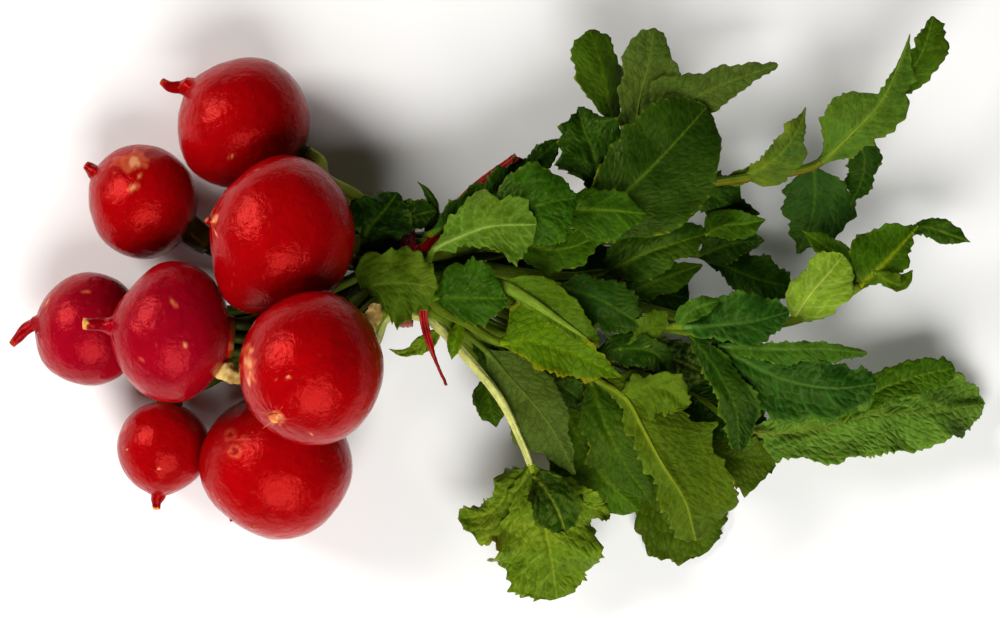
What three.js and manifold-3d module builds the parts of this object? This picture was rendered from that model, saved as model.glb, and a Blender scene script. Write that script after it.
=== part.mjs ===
// A bunch of round red radishes with their leaves, lying on its side and held by a twist tie.
// Millimetres, +Z up. The bulbs lie at -X and the leaves fan out to +X; the bunch rests on Z = 0.
import * as THREE from "three";
import { mergeVertices } from "three/addons/utils/BufferGeometryUtils.js";
import Module from "manifold-3d";

const wasm = await Module();
wasm.setup();

// ---- driving dimensions ----
const GAP = 0.35; // clearance that every piece keeps to its neighbours
const BLADE = 0.8; // thickness of a leaf blade
const STALK_R = 1.72; // radius of a stalk where the tie holds it
const TIE = { x: -28, y: 9.5, z: 24, ry: 14.5, rz: 12.2, strip: 2.7, thick: 0.8 };
const TIE_IN = -33.5, TIE_OUT = -22.5; // the stalks run parallel between these
const BULB_SIDES = 14;

// ---- small vector helpers ----
const add = (a, b, k = 1) => [a[0] + b[0] * k, a[1] + b[1] * k, a[2] + b[2] * k];
const sub = (a, b) => [a[0] - b[0], a[1] - b[1], a[2] - b[2]];
const dot = (a, b) => a[0] * b[0] + a[1] * b[1] + a[2] * b[2];
const cross = (a, b) => [
  a[1] * b[2] - a[2] * b[1], a[2] * b[0] - a[0] * b[2], a[0] * b[1] - a[1] * b[0]];
const len = (a) => Math.hypot(...a);
const unit = (a) => { const n = len(a) || 1; return [a[0] / n, a[1] / n, a[2] / n]; };
const mix = (a, b, t) => a.map((v, i) => v + (b[i] - v) * t);
const clamp = (v, a = 0, b = 1) => Math.min(b, Math.max(a, v));
const smooth = (t) => { t = clamp(t); return t * t * (3 - 2 * t); };
const rad = (d) => (d * Math.PI) / 180;

// A value that runs smoothly through equally spaced numbers, or a plain number.
function along(list, t) {
  if (!Array.isArray(list)) return list;
  const n = list.length - 1, u = clamp(t) * n, i = Math.min(n - 1, Math.floor(u)), f = u - i;
  const at = (k) => k < 0 ? 2 * list[0] - list[1] : k > n ? 2 * list[n] - list[n - 1] : list[k];
  const [a, b, c, d] = [at(i - 1), at(i), at(i + 1), at(i + 2)];
  return b + 0.5 * f * (c - a + f * (2 * a - 5 * b + 4 * c - d + f * (3 * (b - c) + d - a)));
}

// A smooth path through points, sampled finely, with its length at each given point.
const FINE = 16;
function makePath(points) {
  const v = points.map((p) => new THREE.Vector3(...p));
  const curve = new THREE.CatmullRomCurve3(v);
  const n = (points.length - 1) * FINE, p = [], s = [0];
  for (let i = 0; i <= n; i++) p.push(curve.getPoint(i / n).toArray());
  for (let i = 1; i <= n; i++) s.push(s[i - 1] + len(sub(p[i], p[i - 1])));
  return { p, s, knots: points.map((_, i) => s[i * FINE]), length: s[n] };
}
function atLength(path, d) {
  const { p, s } = path;
  let i = 1;
  while (i < s.length - 1 && s[i] < d) i++;
  const f = clamp((d - s[i - 1]) / (s[i] - s[i - 1] || 1));
  const T = unit(sub(p[Math.min(i + 1, p.length - 1)], p[Math.max(i - 2, 0)]));
  return { P: mix(p[i - 1], p[i], f), T };
}
// Lengths where the path bends enough to need a section, within tol of the smooth line.
function bends(path, d0, d1, tol) {
  const out = [];
  const split = (a, b, depth) => {
    const A = atLength(path, a).P, B = atLength(path, b).P;
    let worst = 0, where = 0;
    for (let k = 1; k < 8; k++) {
      const d = a + ((b - a) * k) / 8, Q = atLength(path, d).P, AB = sub(B, A);
      const h = clamp(dot(sub(Q, A), AB) / (dot(AB, AB) || 1));
      const e = len(sub(Q, add(A, AB, h)));
      if (e > worst) { worst = e; where = d; }
    }
    if ((worst > tol || b - a > 60) && depth < 6) { split(a, where || (a + b) / 2, depth + 1); out.push(where || (a + b) / 2); split(where || (a + b) / 2, b, depth + 1); }
  };
  split(d0, d1, 0);
  return out;
}

// ---- solids ----
// Rings of points, all of the same count, become one closed solid.
// flip(j) tells which way the quad at side j is split, so that both faces of a blade split alike.
function loft(rings, flip = () => false) {
  const m = rings[0].length, pos = rings.flat(2), idx = [];
  const id = (i, j) => i * m + (j % m);
  for (let i = 0; i < rings.length - 1; i++)
    for (let j = 0; j < m; j++) {
      const a = id(i, j), b = id(i, j + 1), c = id(i + 1, j + 1), d = id(i + 1, j);
      if (flip(j)) idx.push(a, b, d, b, c, d);
      else idx.push(a, b, c, a, c, d);
    }
  const cap = (i, turn) => {
    // a ladder across the section, so that a flat section is closed along its width
    const h = m / 2;
    for (let k = 0; k < h - 1; k++) {
      const a = id(i, k), b = id(i, k + 1), c = id(i, m - 2 - k), d = id(i, m - 1 - k);
      const q = [a, b, d, b, c, d];
      if (k === h - 2 && (m - 2 - k) % m === k + 1) q.length = 3;
      for (let t = 0; t < q.length; t += 3) turn ? idx.push(q[t], q[t + 2], q[t + 1]) : idx.push(q[t], q[t + 1], q[t + 2]);
    }
  };
  cap(0, true);
  cap(rings.length - 1, false);
  return solid(pos, idx);
}
function solid(pos, idx) {
  const make = (tri) => new wasm.Manifold(new wasm.Mesh({
    numProp: 3, vertProperties: new Float32Array(pos), triVerts: new Uint32Array(tri) }));
  let s = make(idx);
  if (s.volume() < 0) {
    const t = idx.slice();
    for (let i = 0; i < t.length; i += 3) [t[i + 1], t[i + 2]] = [t[i + 2], t[i + 1]];
    s = make(t);
  }
  return s;
}
const onFloor = (s) => s.trimByPlane([0, 0, 1], 0);
function biggest(s) {
  const parts = s.decompose();
  return parts.reduce((a, b) => (b.volume() > a.volume() ? b : a));
}
function boxesMeet(a, b) {
  const p = a.boundingBox(), q = b.boundingBox();
  return [0, 1, 2].every((i) => p.min[i] < q.max[i] && q.min[i] < p.max[i]);
}

// ---- bulbs ----
// c centre, r radius, sq how it is squashed along X Y Z, tail the root's points from the body out,
// tr the root's radii, neck the crown's radius, crown the way the crown points.
const BULBS = {
  radish_1: { c: [-77, 56.2, 19.2], r: 19.9, crown: [0.75, -0.62, -0.12], neck: 5.6,
    tail: [[-95.5, 65.2, 20.5], [-99.5, 67.6, 21], [-102.4, 66.6, 21], [-104.4, 69.2, 21]], tr: [3.1, 1.7, 1.5, 0.9] },
  radish_2: { c: [-108.1, 32.5, 16.4], r: 17, crown: [0.8, -0.57, -0.12], neck: 5,
    tail: [[-121, 42.6, 17.5], [-123.6, 43.4, 17.5]], tr: [2.2, 1] },
  radish_3: { c: [-64.4, 22, 42.8], r: 22, sq: [0.975, 1.055, 0.98], crown: [0.9, -0.3, -0.36], neck: 5.4,
    tail: [[-84.4, 28.6, 50.2], [-86, 29, 50.8]], tr: [1.7, 0.8] },
  radish_4: { c: [-125.6, -6.3, 16.2], r: 16.8, crown: [0.98, 0.02, -0.2], neck: 5,
    tail: [[-139.5, -4.6, 17.5], [-142.5, -5.2, 17.5], [-145.5, -8, 17], [-148.4, -11.2, 17]], tr: [3.6, 2, 1.7, 1] },
  radish_5: { c: [-97.8, -7.2, 38.4], r: 18.9, sq: [0.94, 1.12, 0.97], crown: [0.96, -0.2, -0.2], neck: 6.2,
    tail: [[-113.6, -4.6, 41.5], [-118, -4.4, 42], [-123.6, -4.2, 42.2]], tr: [3.2, 1.9, 1.5] },
  radish_6: { c: [-54.9, -17.4, 64], r: 21.7, sq: [0.98, 1.06, 0.98], crown: [0.52, 0.66, -0.54], neck: 6.2,
    tail: [[-65.6, -31.6, 74.6], [-67, -33.4, 76.4]], tr: [1.9, 1.1] },
  radish_7: { c: [-102.2, -42.5, 13.7], r: 14.2, crown: [0.36, 0.92, -0.12], neck: 4.8,
    tail: [[-103.4, -55.4, 14.5], [-103.4, -58.4, 14.5], [-103.2, -60.8, 14.5]], tr: [2.4, 1.5, 1.2] },
  radish_8: { c: [-66.4, -48, 21.9], r: 22.6, sq: [1.01, 0.98, 1], crown: [0.62, 0.76, -0.18], neck: 5.6,
    tail: [[-80.4, -64.6, 26.5], [-81.4, -65.8, 26.8]], tr: [1.4, 0.8], groove: [3.3, 0.9] },
};
// The crown's middle: where the stalks of a radish start.
function crownOf(b) {
  const f = unit(b.crown), a = Math.sqrt(b.r ** 2 - b.neck ** 2) + 1.4;
  const sq = b.sq || [1, 1, 1];
  return { P: add(b.c, f.map((v, i) => v * sq[i]), a), D: f };
}
function makeBulb(b, grow = 0) {
  const F = unit(b.crown).map((v) => -v), sq = b.sq || [1, 1, 1];
  const r = b.r + grow, neck = b.neck + grow;
  const E1 = unit(cross(Math.abs(F[2]) < 0.9 ? [0, 0, 1] : [0, 1, 0], F)), E2 = cross(F, E1);
  const rings = [];
  const n = BULB_SIDES;
  const ring = (a, rr) => {
    const out = [];
    for (let j = 0; j < n; j++) {
      const t = (2 * Math.PI * j) / n;
      let k = 1;
      if (b.groove) k -= (b.groove[1] / b.r) * Math.exp(-((((t - b.groove[0] + 3 * Math.PI) % (2 * Math.PI)) - Math.PI) ** 2) / 0.05);
      const o = add(E1.map((v) => v * Math.cos(t)), E2, Math.sin(t));
      out.push(add(b.c, add(F.map((v) => v * a), o, rr * k).map((v, i) => v * sq[i])));
    }
    return out;
  };
  const th0 = Math.asin(neck / r), th1 = Math.PI - Math.asin((b.tr[0] + grow) / r);
  rings.push(ring(-Math.sqrt(b.r ** 2 - b.neck ** 2) - 1 - grow, neck));
  rings.push(ring(-r * Math.cos(th0), neck));
  const steps = 10;
  for (let i = 1; i < steps; i++) {
    const th = th0 + ((th1 - th0) * i) / steps;
    rings.push(ring(-r * Math.cos(th), r * Math.sin(th)));
  }
  // the root: its sections follow the points out of the body
  const base = add(b.c, F.map((v, i) => v * sq[i]), r * -Math.cos(th1));
  const pts = [base, ...b.tail];
  let E = E1;
  for (let i = 1; i < pts.length; i++) {
    const T = unit(sub(pts[Math.min(i + 1, pts.length - 1)], pts[i - 1]));
    E = unit(add(E, T, -dot(E, T)));
    const G = cross(T, E), out = [], rr = b.tr[i - 1] + grow;
    for (let j = 0; j < n; j++) {
      const t = (2 * Math.PI * j) / n;
      out.push(add(add(pts[i], E, rr * Math.cos(t)), G, rr * Math.sin(t)));
    }
    rings.push(out);
  }
  return onFloor(loft(rings));
}

// ---- leaves ----
// Section of a blade: points across it as a share v of the half width, above and below.
const ACROSS = { 10: [1, 0.5, 0, -0.5, -1], 6: [1, 0, -1] };
function frameAt(T, roll) {
  const z = [0, 0, 1];
  const N0 = unit(add(z, T, -dot(z, T))), S = cross(T, N0);
  const N = add(N0.map((v) => v * Math.cos(rad(roll))), S, Math.sin(rad(roll)));
  return { N, L: cross(N, T) };
}
// One side of a blade's section at distance d from the rib: out along L, up along N, and its slope.
function reach(d, fold, cup) {
  const a = rad(fold), e = a + cup * d;
  if (Math.abs(cup) < 1e-4) return [d * Math.cos(a), d * Math.sin(a), a];
  return [(Math.sin(e) - Math.sin(a)) / cup, (Math.cos(a) - Math.cos(e)) / cup, e];
}
function bladePoint(B, t, v, F, P, grow) {
  const wl = along(B.wl, t), wr = along(B.wr, t), w = Math.max(v > 0 ? wl : wr, 0.5);
  const wide = Math.max(...(v > 0 ? B.wl : B.wr));
  const d = w * Math.abs(v), side = v >= 0 ? 1 : -1;
  const fold = v > 0 ? along(B.fl ?? 0, t) : along(B.fr ?? 0, t);
  let [x, y, a] = reach(d, fold, along(B.cup ?? 0, t));
  y += (B.wave ?? 1) * (d / wide) ** 2 * Math.sin(2 * Math.PI * (B.n ?? 2) * t + (B.ph ?? 0) + (v > 0 ? 0 : 2.2));
  const n = [-Math.sin(a) * side, Math.cos(a)];
  const edge = Math.abs(v) === 1 ? grow : 0;
  return { x: x * side + edge * Math.cos(a) * side, y, n };
}
function bladeRing(B, t, st, grow, ring) {
  const { P, T } = st, F = frameAt(T, along(B.roll ?? 0, t));
  const vs = ACROSS[ring], top = [], low = [];
  const rib = (along(B.rib ?? [1.1, 0.3], t)) * (B.under ? -1 : 1);
  for (const v of vs) {
    const q = bladePoint(B, t, v, F, P, grow), h = BLADE / 2 + grow;
    const up = h + (v === 0 && rib < 0 ? -rib : 0), dn = h + (v === 0 && rib > 0 ? rib : 0);
    const at = (k) => add(add(P, F.L, q.x + q.n[0] * k), F.N, q.y + q.n[1] * k);
    top.push(at(up));
    low.unshift(at(-dn));
  }
  return [...top, ...low];
}
function stalkRing(r, st, ring, roll = 0) {
  const { P, T } = st, F = frameAt(T, roll), out = [];
  for (let j = 0; j < ring; j++) {
    const a = ((j + 0.5) / ring) * 2 * Math.PI;
    out.push(add(add(P, F.L, r * Math.cos(a)), F.N, r * Math.sin(a)));
  }
  return out;
}
// A stalk that opens into a blade. path runs the whole way and the blade covers it from d0 on.
function leafSolid(B, path, d0, grow, ring, start = 0) {
  const rings = [], L = path.length - d0;
  const r0 = B.r0 ?? STALK_R, r1 = B.r1 ?? 1.15;
  const radius = (d) => r0 + (r1 - r0) * smooth((d - B.thickTo) / Math.max(1, d0 - B.thickTo)) + grow;
  if (d0 > 0.5) {
    const cuts = [start, ...bends(path, start, d0, 0.7), d0];
    for (const d of cuts) rings.push(stalkRing(radius(d), atLength(path, d), ring, along(B.roll ?? 0, 0)));
  }
  const steps = B.steps ?? clamp(Math.round(L / 7.5), 4, 8);
  for (let i = d0 > 0.5 ? 1 : 0; i <= steps; i++) {
    const t = i / steps, st = atLength(path, d0 + L * t);
    const full = bladeRing(B, t, st, grow, ring);
    const round = stalkRing((B.r1 ?? 1.15) * (1 - t) + grow, st, ring, along(B.roll ?? 0, t));
    const k = smooth((t + 0.02) / 0.16);
    const scallop = i > 0 && i < steps ? 1 + (i % 2 ? 0.05 : -0.05) : 1;
    rings.push(full.map((p, j) => {
      const q = mix(round[j], p, k);
      return j === 0 || j === ring / 2 - 1 || j === ring / 2 || j === ring - 1
        ? add(st.P, sub(q, st.P), scallop) : q;
    }));
  }
  // tops split one way, undersides the mirrored way
  return loft(rings, (j) => j >= ring / 2);
}

// Where each radish's stalks run from its crown to the tie: points of the bundle's middle.
const BUNDLES = {
  radish_1: [[-55, 38, 15.5], [-44, 31, 17], [-38, 23.5, 20]],
  radish_2: [[-80, 17, 11], [-62, 16.5, 10], [-44, 15, 12.5]],
  radish_3: [[-38.5, 16.6, 31.5]],
  radish_4: [[-100, -4, 11.5], [-80, -2.5, 9.5], [-60, 2, 9.5], [-44, 6, 13]],
  radish_5: [[-74, -8.5, 30.5], [-60, -3.5, 26], [-45, 4, 24]],
  radish_6: [[-39.6, 2.2, 42], [-36.6, 5.4, 36]],
  radish_7: [[-92, -23, 9.5], [-78, -15.5, 8.5], [-60, -8, 9], [-44, -1.5, 13]],
  radish_8: [[-45.5, -21.5, 18], [-39, -9, 20.5]],
};
// Slots in the tie: how far from its middle each stalk passes, in Y and Z.
const A = -8.75, Bz = -5.25, C = -1.75, D = 1.75, E = 5.25, F = 8.75;

// Each leaf: plant, slot, way (points from the tie to the blade), then the blade's own points,
// wl and wr its half widths to the left and right from base to tip, and side blades that grow
// from its stalk or rib. fl, fr tilt the halves, cup curls them, wave lifts the edge.
const LEAVES = {
  leaf_3d: { of: 3, slot: [4, F], way: [[-17.5, 16.5, 35.5]], pts: [[-13, 19.6, 38.5], [-7, 23, 41.5], [2, 23.4, 44], [11.4, 21.8, 43.5]],
    wl: [1.6, 6, 9.5, 11, 8, 3], wr: [1.6, 3.5, 5.5, 8, 9.5, 4], under: true, cup: -0.015, wave: 1.1, n: 1.5 },
  leaf_3i: { of: 3, slot: [10, E], way: [[-13, 21, 31]], pts: [[-2, 24, 35.5], [6.3, 28.5, 40], [14, 31.4, 42], [23, 33, 40]],
    wl: [2, 8, 13, 14, 9, 3], wr: [2, 6, 11, 14, 12, 4], cup: -0.02, wave: 1.3, n: 2,
    side: { a2: { small: 1, pts: [[-34, 19, 30], [-30.5, 26, 30.4], [-25, 28, 29.6], [-18.8, 29.4, 28.6]], wl: [1, 2.6, 2.6, 0.8], wr: [1, 1.6, 2, 0.8], wave: 0.5 },
      a: { big: 1, pts: [[-41, 20, 33], [-38.8, 24, 35], [-35.5, 28, 34.6], [-30.3, 34.8, 31.5]], wl: [1.2, 6, 7.5, 5, 1], wr: [1.2, 6, 6, 4, 1], wave: 1.2, n: 2, cup: -0.02 } } },
  leaf_3n: { of: 3, slot: [6, E], way: [[-10, 17.5, 30.2], [5, 23, 31.2]], pts: [[17, 28.5, 33.5], [26, 29.5, 35.5], [35, 29.2, 36.5], [44, 28.3, 35.5]],
    wl: [1.5, 4.5, 5.5, 5, 3, 1], wr: [1.5, 4.5, 6, 6, 4, 1], cup: -0.015, wave: 0.7, n: 1.5,
    side: { o: { big: 1, pts: [[4, 21.5, 31], [13, 17.8, 33.5], [22, 18.5, 34.5], [31, 22.5, 34]], wl: [1.2, 4, 4.5, 3, 1], wr: [1.2, 5.5, 6.5, 4.5, 1], wave: 0.8, n: 1.5 } } },
  leaf_3m: { of: 3, slot: [8, D], way: [[-8, 19, 25.2], [10, 17, 25.2]], pts: [[23, 19, 26.8], [33.6, 30.6, 29.8], [45.8, 42.4, 31.4], [57, 54.4, 30], [62.4, 60.6, 27.5]],
    wl: [2, 6.5, 11, 12.5, 10, 3], wr: [2, 10, 17, 17.5, 13, 4], cup: -0.008, wave: 1.1, n: 1.5 },
  leaf_1h: { of: 1, slot: [12, D], way: [], pts: [[-14.5, 25, 27], [-5, 31, 28.5], [5, 39, 29.5], [11, 45, 28.5]],
    wl: [1.6, 3.5, 4.5, 4, 1], wr: [1.6, 6, 8, 6, 1], wave: 0.8, n: 1.5, fr: -10,
    side: { h2: { small: 1, pts: [[8, 41.8, 29], [13.5, 46.5, 28.8], [18, 51, 28]], wl: [1, 3, 1], wr: [1, 4, 1], wave: 0.5 },
      b: { small: 1, pts: [[-18, 22.6, 24], [-19.3, 30, 26.5], [-21.6, 35.2, 27.5], [-24.6, 38.2, 27.5]], wl: [1, 2, 1.4, 0.7], wr: [1, 1.6, 1.1, 0.7], wave: 0.5 } } },
  leaf_1j: { of: 1, slot: [10, C], way: [[-8, 22.5, 21.6], [8, 27.5, 21.6], [24, 31.5, 24]], pts: [[30.6, 37.8, 26.2], [28.3, 46, 28], [25.3, 54, 28.4], [23.8, 60.6, 27]],
    wl: [1.5, 8, 9, 8, 3], wr: [1.5, 6.5, 8.5, 7, 3], fl: 10, fr: 10, wave: 1.6, n: 2.5 },
  leaf_1k: { small: 1, of: 1, slot: [6, C], way: [[-8, 18.5, 21.6], [12, 26, 19.5], [27, 35, 19.4]], pts: [[34.2, 52, 21], [32, 62.5, 22], [29.4, 73, 22], [26.8, 84.7, 20.5]],
    wl: [1.4, 3.8, 6.8, 7.8, 6.2, 2.6], wr: [1.4, 3.2, 5.5, 7, 6, 2.5], wave: 0.9, n: 1 },
  leaf_1l: { of: 1, slot: [8, Bz], way: [[-6, 20.5, 17.2], [15, 28.5, 15.4], [32, 40, 15.8]], pts: [[39.9, 49, 22], [42.3, 62.5, 25], [45.3, 74.5, 26], [46.8, 84.5, 25]],
    wl: [1.5, 5.5, 7.4, 8, 6.5, 2.4], wr: [1.5, 8, 10, 9.4, 7, 2.4], under: true, wave: 0.8, n: 1,
    side: { l2: { big: 1, pts: [[40.5, 52, 22], [54.3, 60.6, 24], [67.8, 67.6, 25], [84, 73.4, 24.5]], wl: [1.2, 7.5, 7, 4, 1], wr: [1.2, 7, 6.4, 4, 1], under: true, wave: 0.8, n: 1 } } },
  leaf_2p: { of: 2, slot: [6, A], way: [[-5, 19.5, 12], [20, 28, 12.5], [43, 34.5, 18], [60.3, 37.4, 23], [74, 39.3, 25], [89.4, 41.3, 25.6]],
    pts: [[96.6, 44, 26.5], [107.4, 54, 29], [115, 62.4, 30], [120, 73, 29.5], [123.5, 82.6, 28]], r1: 1.35,
    wl: [2, 8, 9.5, 3, 1.6, 0.8], wr: [2, 6, 8, 7, 4, 0.8], under: true, fl: 8, wave: 0.7, n: 1.5,
    side: {
      p3: { big: 1, pts: [[116, 63.5, 28.4], [122.4, 66.5, 26], [126.5, 75.5, 26.5], [130.8, 88.4, 25]], wl: [1, 3, 3.5, 3, 1.6], wr: [1, 5.5, 7.5, 6.5, 1.6], wave: 0.8, n: 1.5 },
      p1: { big: 1, pts: [[73.2, 39.4, 25], [80, 42.8, 28], [86, 48, 29.5], [90.3, 55, 29], [92.2, 60.6, 27.5]], wl: [1, 3, 4, 3, 0.8], wr: [1, 6.5, 7, 2.6, 0.8], wave: 0.9, n: 1.5 },
      q1: { big: 1, pts: [[95, 42.4, 25.8], [95.4, 36, 21], [94.4, 27, 18.5], [90.3, 16.4, 16.5]], wl: [1, 10, 11, 8, 1.2], wr: [1, 9, 10, 5.5, 1.2], wave: 1, n: 1.5 },
      q2: { pts: [[106, 52.4, 28.4], [108.6, 46, 22.5], [107.6, 39, 20], [104, 31, 19]], wl: [1, 4.6, 4.4, 3, 1], wr: [1, 4, 5, 4, 1], wave: 0.6 },
      q3: { pts: [[58, 37, 22.4], [65, 34, 19.4], [72, 30.4, 18], [79, 28.6, 17.4]], wl: [1, 6, 6, 3, 1], wr: [1, 5, 5, 4, 1], wave: 0.6 } } },
  leaf_2s: { of: 2, slot: [4, Bz], way: [[-4, 16, 16.6], [20, 20, 13], [45, 20, 14]], small: 1,
    pts: [[60.3, 16.4, 15.5], [69.3, 19.4, 17.5], [80.4, 20.6, 17.5]], wl: [1.4, 6, 5, 1.2], wr: [1.4, 6, 4, 1], wave: 0.8, n: 1.5,
    side: { s2: { small: 1, pts: [[55, 18, 15], [64, 12.4, 15.5], [74, 9, 16.5], [88, 7, 16]], wl: [1, 5.5, 6.5, 5, 1.2], wr: [1, 5.5, 6, 4, 1.2], wave: 0.8, n: 1.5 } } },
  leaf_2v: { small: 1, of: 2, slot: [2, A], way: [[-4, 12, 10]], pts: [[6, 12.5, 7], [20, 11, 5.5], [38, 8, 3.4], [55, 4, 0.8]],
    wl: [2, 8, 11, 9, 1.5], wr: [2, 8, 11, 9, 1.5], wave: 0.6, n: 1.5, cup: -0.01 },
  leaf_5r: { of: 5, slot: [4, D], way: [[-4, 12.5, 24.6], [15, 10, 22.5]], pts: [[30, 10.8, 21.5], [46, 17.4, 24], [56, 20.6, 24], [64.5, 23, 20]],
    wl: [1.6, 7, 9, 8, 5, 1.2], wr: [1.6, 6, 7, 6.5, 5, 1.2], cup: -0.02, wave: 0.8, n: 1.5,
    side: { r2: { small: 1, pts: [[62, 22.4, 21.4], [68, 25, 21], [74, 25.6, 21.5], [80.4, 26.8, 21]], wl: [1, 3.4, 3.4, 1], wr: [1, 4, 4.6, 1], wave: 0.6 } } },
  leaf_5t: { small: 1, of: 5, slot: [2, C], way: [[-2, 10.6, 20.2], [20, 6.4, 17.4]], pts: [[36.9, 4.6, 18.4], [48.3, 8.6, 20], [61.4, 13.4, 19.5]],
    wl: [1.4, 3.6, 3.6, 1], wr: [1.4, 4.2, 4.4, 1.4], wave: 0.6, n: 1.5 },
  leaf_5v: { of: 5, slot: [0, D], way: [[-5, 8.6, 25.6], [20, 2.6, 25.2], [42, -4, 27.6]], pts: [[55, -5.4, 31], [65, -5, 33.5], [75.3, -4, 34], [87, -1, 31.5]],
    wl: [1.5, 6.5, 7.6, 8.6, 6.5, 2.5], wr: [1.5, 3.6, 4.6, 7, 5.5, 2], wave: 1, n: 2, cup: -0.01 },
  leaf_5x: { of: 5, slot: [-4, D], way: [[-2, 2.6, 26], [22, -3.6, 25], [45, -5.8, 25]], pts: [[60.3, -8.6, 27], [70.8, -13, 28.5], [84.3, -17.2, 29], [99.3, -19, 28.5], [113.8, -19, 26]],
    wl: [1.6, 5.4, 7.4, 8, 7, 5], wr: [1.6, 11, 17, 17, 13, 7], fl: 22, fr: -16, wave: 0.8, n: 2,
    side: { z: { big: 1, pts: [[57, -7.8, 26.2], [61.5, -13, 29.5], [66.5, -20.5, 31], [71, -30, 29.5], [72.4, -43, 25.5]], wl: [1.2, 5, 6.5, 6.5, 3], wr: [1.2, 3, 4, 5, 2.4], fl: -12, wave: 0.9, n: 2 } } },
  leaf_5b: { of: 5, slot: [-2, C], way: [[-5, 2, 21.2], [14, -9.5, 21.6]], pts: [[26.5, -20, 23.6], [31.2, -33, 25], [37, -45.5, 22], [46, -58.6, 15.5]],
    wl: [1.6, 7, 9, 8.5, 6, 1], wr: [1.6, 5.5, 7.5, 8.5, 5.5, 1], wave: 1, n: 2, cup: -0.012 },
  leaf_4u: { of: 4, slot: [0, Bz], way: [[2, 8, 13.5], [35, 2.4, 14], [65, -4.6, 19], [87, -4, 23.5], [97, 0, 25]], r1: 1.5,
    pts: [[108, 6.6, 26], [115.2, 13, 27], [120.5, 18.6, 26.5], [126.3, 25, 24.5]], wl: [1.6, 11, 11.5, 9.5, 6, 1.6], wr: [1.6, 3, 6, 6.5, 3.4, 1], wave: 0.9, n: 1.5,
    side: {
      u4: { small: 1, pts: [[124, 22.6, 25.4], [128, 24.6, 22.5], [134, 23, 21.5], [142.4, 20, 19.5]], wl: [0.8, 3, 3.4, 0.7], wr: [0.8, 3, 3.2, 0.7], wave: 0.5 },
      u1: { pts: [[88.5, -3.6, 23.8], [93.9, 4.6, 28.5], [99.3, 11, 30], [103, 15, 29]], wl: [1, 7.5, 8, 4], wr: [1, 7, 9, 5], big: 1, wave: 0.8, n: 1.5, cup: -0.02 },
      u2: { small: 1, pts: [[107, 5.8, 25.8], [104.5, 14, 24.5], [98, 19, 24], [91.2, 23.6, 23]], wl: [0.8, 3, 3.4, 0.8], wr: [0.8, 3.4, 3.4, 0.8], wave: 0.5 } } },
  leaf_4w: { of: 4, slot: [-4, Bz], way: [[-2, 0, 12.5], [30, -14, 9.5], [62, -28, 11]], pts: [[80, -39, 13.5], [96.3, -36.8, 14.5], [111.3, -32.4, 14.5], [126.3, -31.7, 12.5], [147.6, -29.2, 7]],
    wl: [2, 7, 8.5, 9.5, 11, 7], wr: [2, 9, 12, 10.5, 9, 5], wave: 1.4, n: 3, steps: 9,
    side: { w3: { pts: [[43, -19.6, 9.8], [50, -15, 13], [57, -17, 14], [66, -22, 12]], wl: [1, 6, 7, 4, 1], wr: [1, 9, 10, 8, 1], wave: 0.6 },
      w2: { big: 1,  pts: [[104, -34.5, 14.5], [111, -25.6, 17.5], [123.6, -18.6, 18], [138, -15.6, 16]], wl: [1.2, 4, 4, 3, 1], wr: [1.2, 4.4, 4.4, 4, 1], wave: 0.6 } } },
  leaf_4e: { of: 4, slot: [-2, A], way: [[-5, 1, 9], [14, -14, 5.5], [34, -34, 4.5]], pts: [[46.8, -49, 5], [51.9, -62, 4], [56.8, -76, 1.1]],
    wl: [2, 9, 12.5, 13, 9], wr: [2, 8, 10, 9.4, 7], wave: 0.5, n: 1.5 },
  leaf_6f: { small: 1, of: 6, slot: [0, F], way: [[-12, 9.4, 34]], pts: [[0, 7.4, 37.5], [9.3, 2.5, 40], [18.3, -3.5, 39.5], [30, -11.6, 35]], r1: 1.7, rib: [1.9, 1.5],
    wl: [1.6, 7.5, 8.6, 5.5, 2], wr: [1.6, 2, 2.6, 2.4, 1.8], under: true, fl: 6, wave: 0.9, n: 1.5,
    side: { c: { big: 1, pts: [[-40, 3.4, 43.4], [-37, 7, 42], [-28.2, 7.6, 41.4], [-20.2, 5.8, 40]], wl: [1.2, 9, 10, 9, 4], wr: [1.2, 4.4, 8.4, 9, 5], wave: 0.9, n: 2, cup: -0.012 } } },
  leaf_6g: { of: 6, slot: [-6, E], way: [[-17, -0.6, 30.2], [-9, -4.8, 32]], pts: [[0, -10, 34.5], [9.5, -9.6, 36.4], [21.3, -13.2, 36.4], [37, -20.4, 34]], r1: 1.4,
    wl: [1.6, 9, 9, 4, 2.6, 1], wr: [1.6, 4.6, 7, 6.4, 4, 1], wave: 1, n: 2,
    side: { kk: { small: 1, pts: [[-12, -3.4, 31.6], [-13.2, -9.6, 33], [-14.2, -15.4, 31.5]], wl: [1, 2.6, 0.7], wr: [1, 2.2, 0.7], wave: 0.3 } } },
  leaf_6q: { of: 6, slot: [-2, E], small: 1, way: [[-10, 6, 28.8], [8, 1, 29.6], [20, -6, 29.5]], pts: [[29, -12.5, 30], [39.3, -12, 31], [46.8, -13.4, 30.5], [52.6, -20.4, 28]],
    wl: [1.4, 4.6, 5, 4, 1], wr: [1.4, 4.6, 5, 4.6, 1], wave: 0.8, n: 2,
    side: { q2: { small: 1, pts: [[40, -12, 31], [44.4, -7, 31.5], [47, -3.4, 31.5], [50.4, -0.8, 31]], wl: [0.8, 3, 3.4, 0.8], wr: [0.8, 4, 3.8, 0.8], wave: 0.6 } } },
  leaf_6e: { of: 6, slot: [-4, F], way: [], pts: [[-19.4, 3.6, 36.4], [-12, 3.2, 40], [-5, 3, 41.5], [2.6, 3, 40.5]], r1: 1.5,
    wl: [1.6, 8, 10, 10.5, 8, 2], wr: [1.6, 4, 6.5, 7.5, 6, 2], wave: 0.9, n: 2 },
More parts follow.
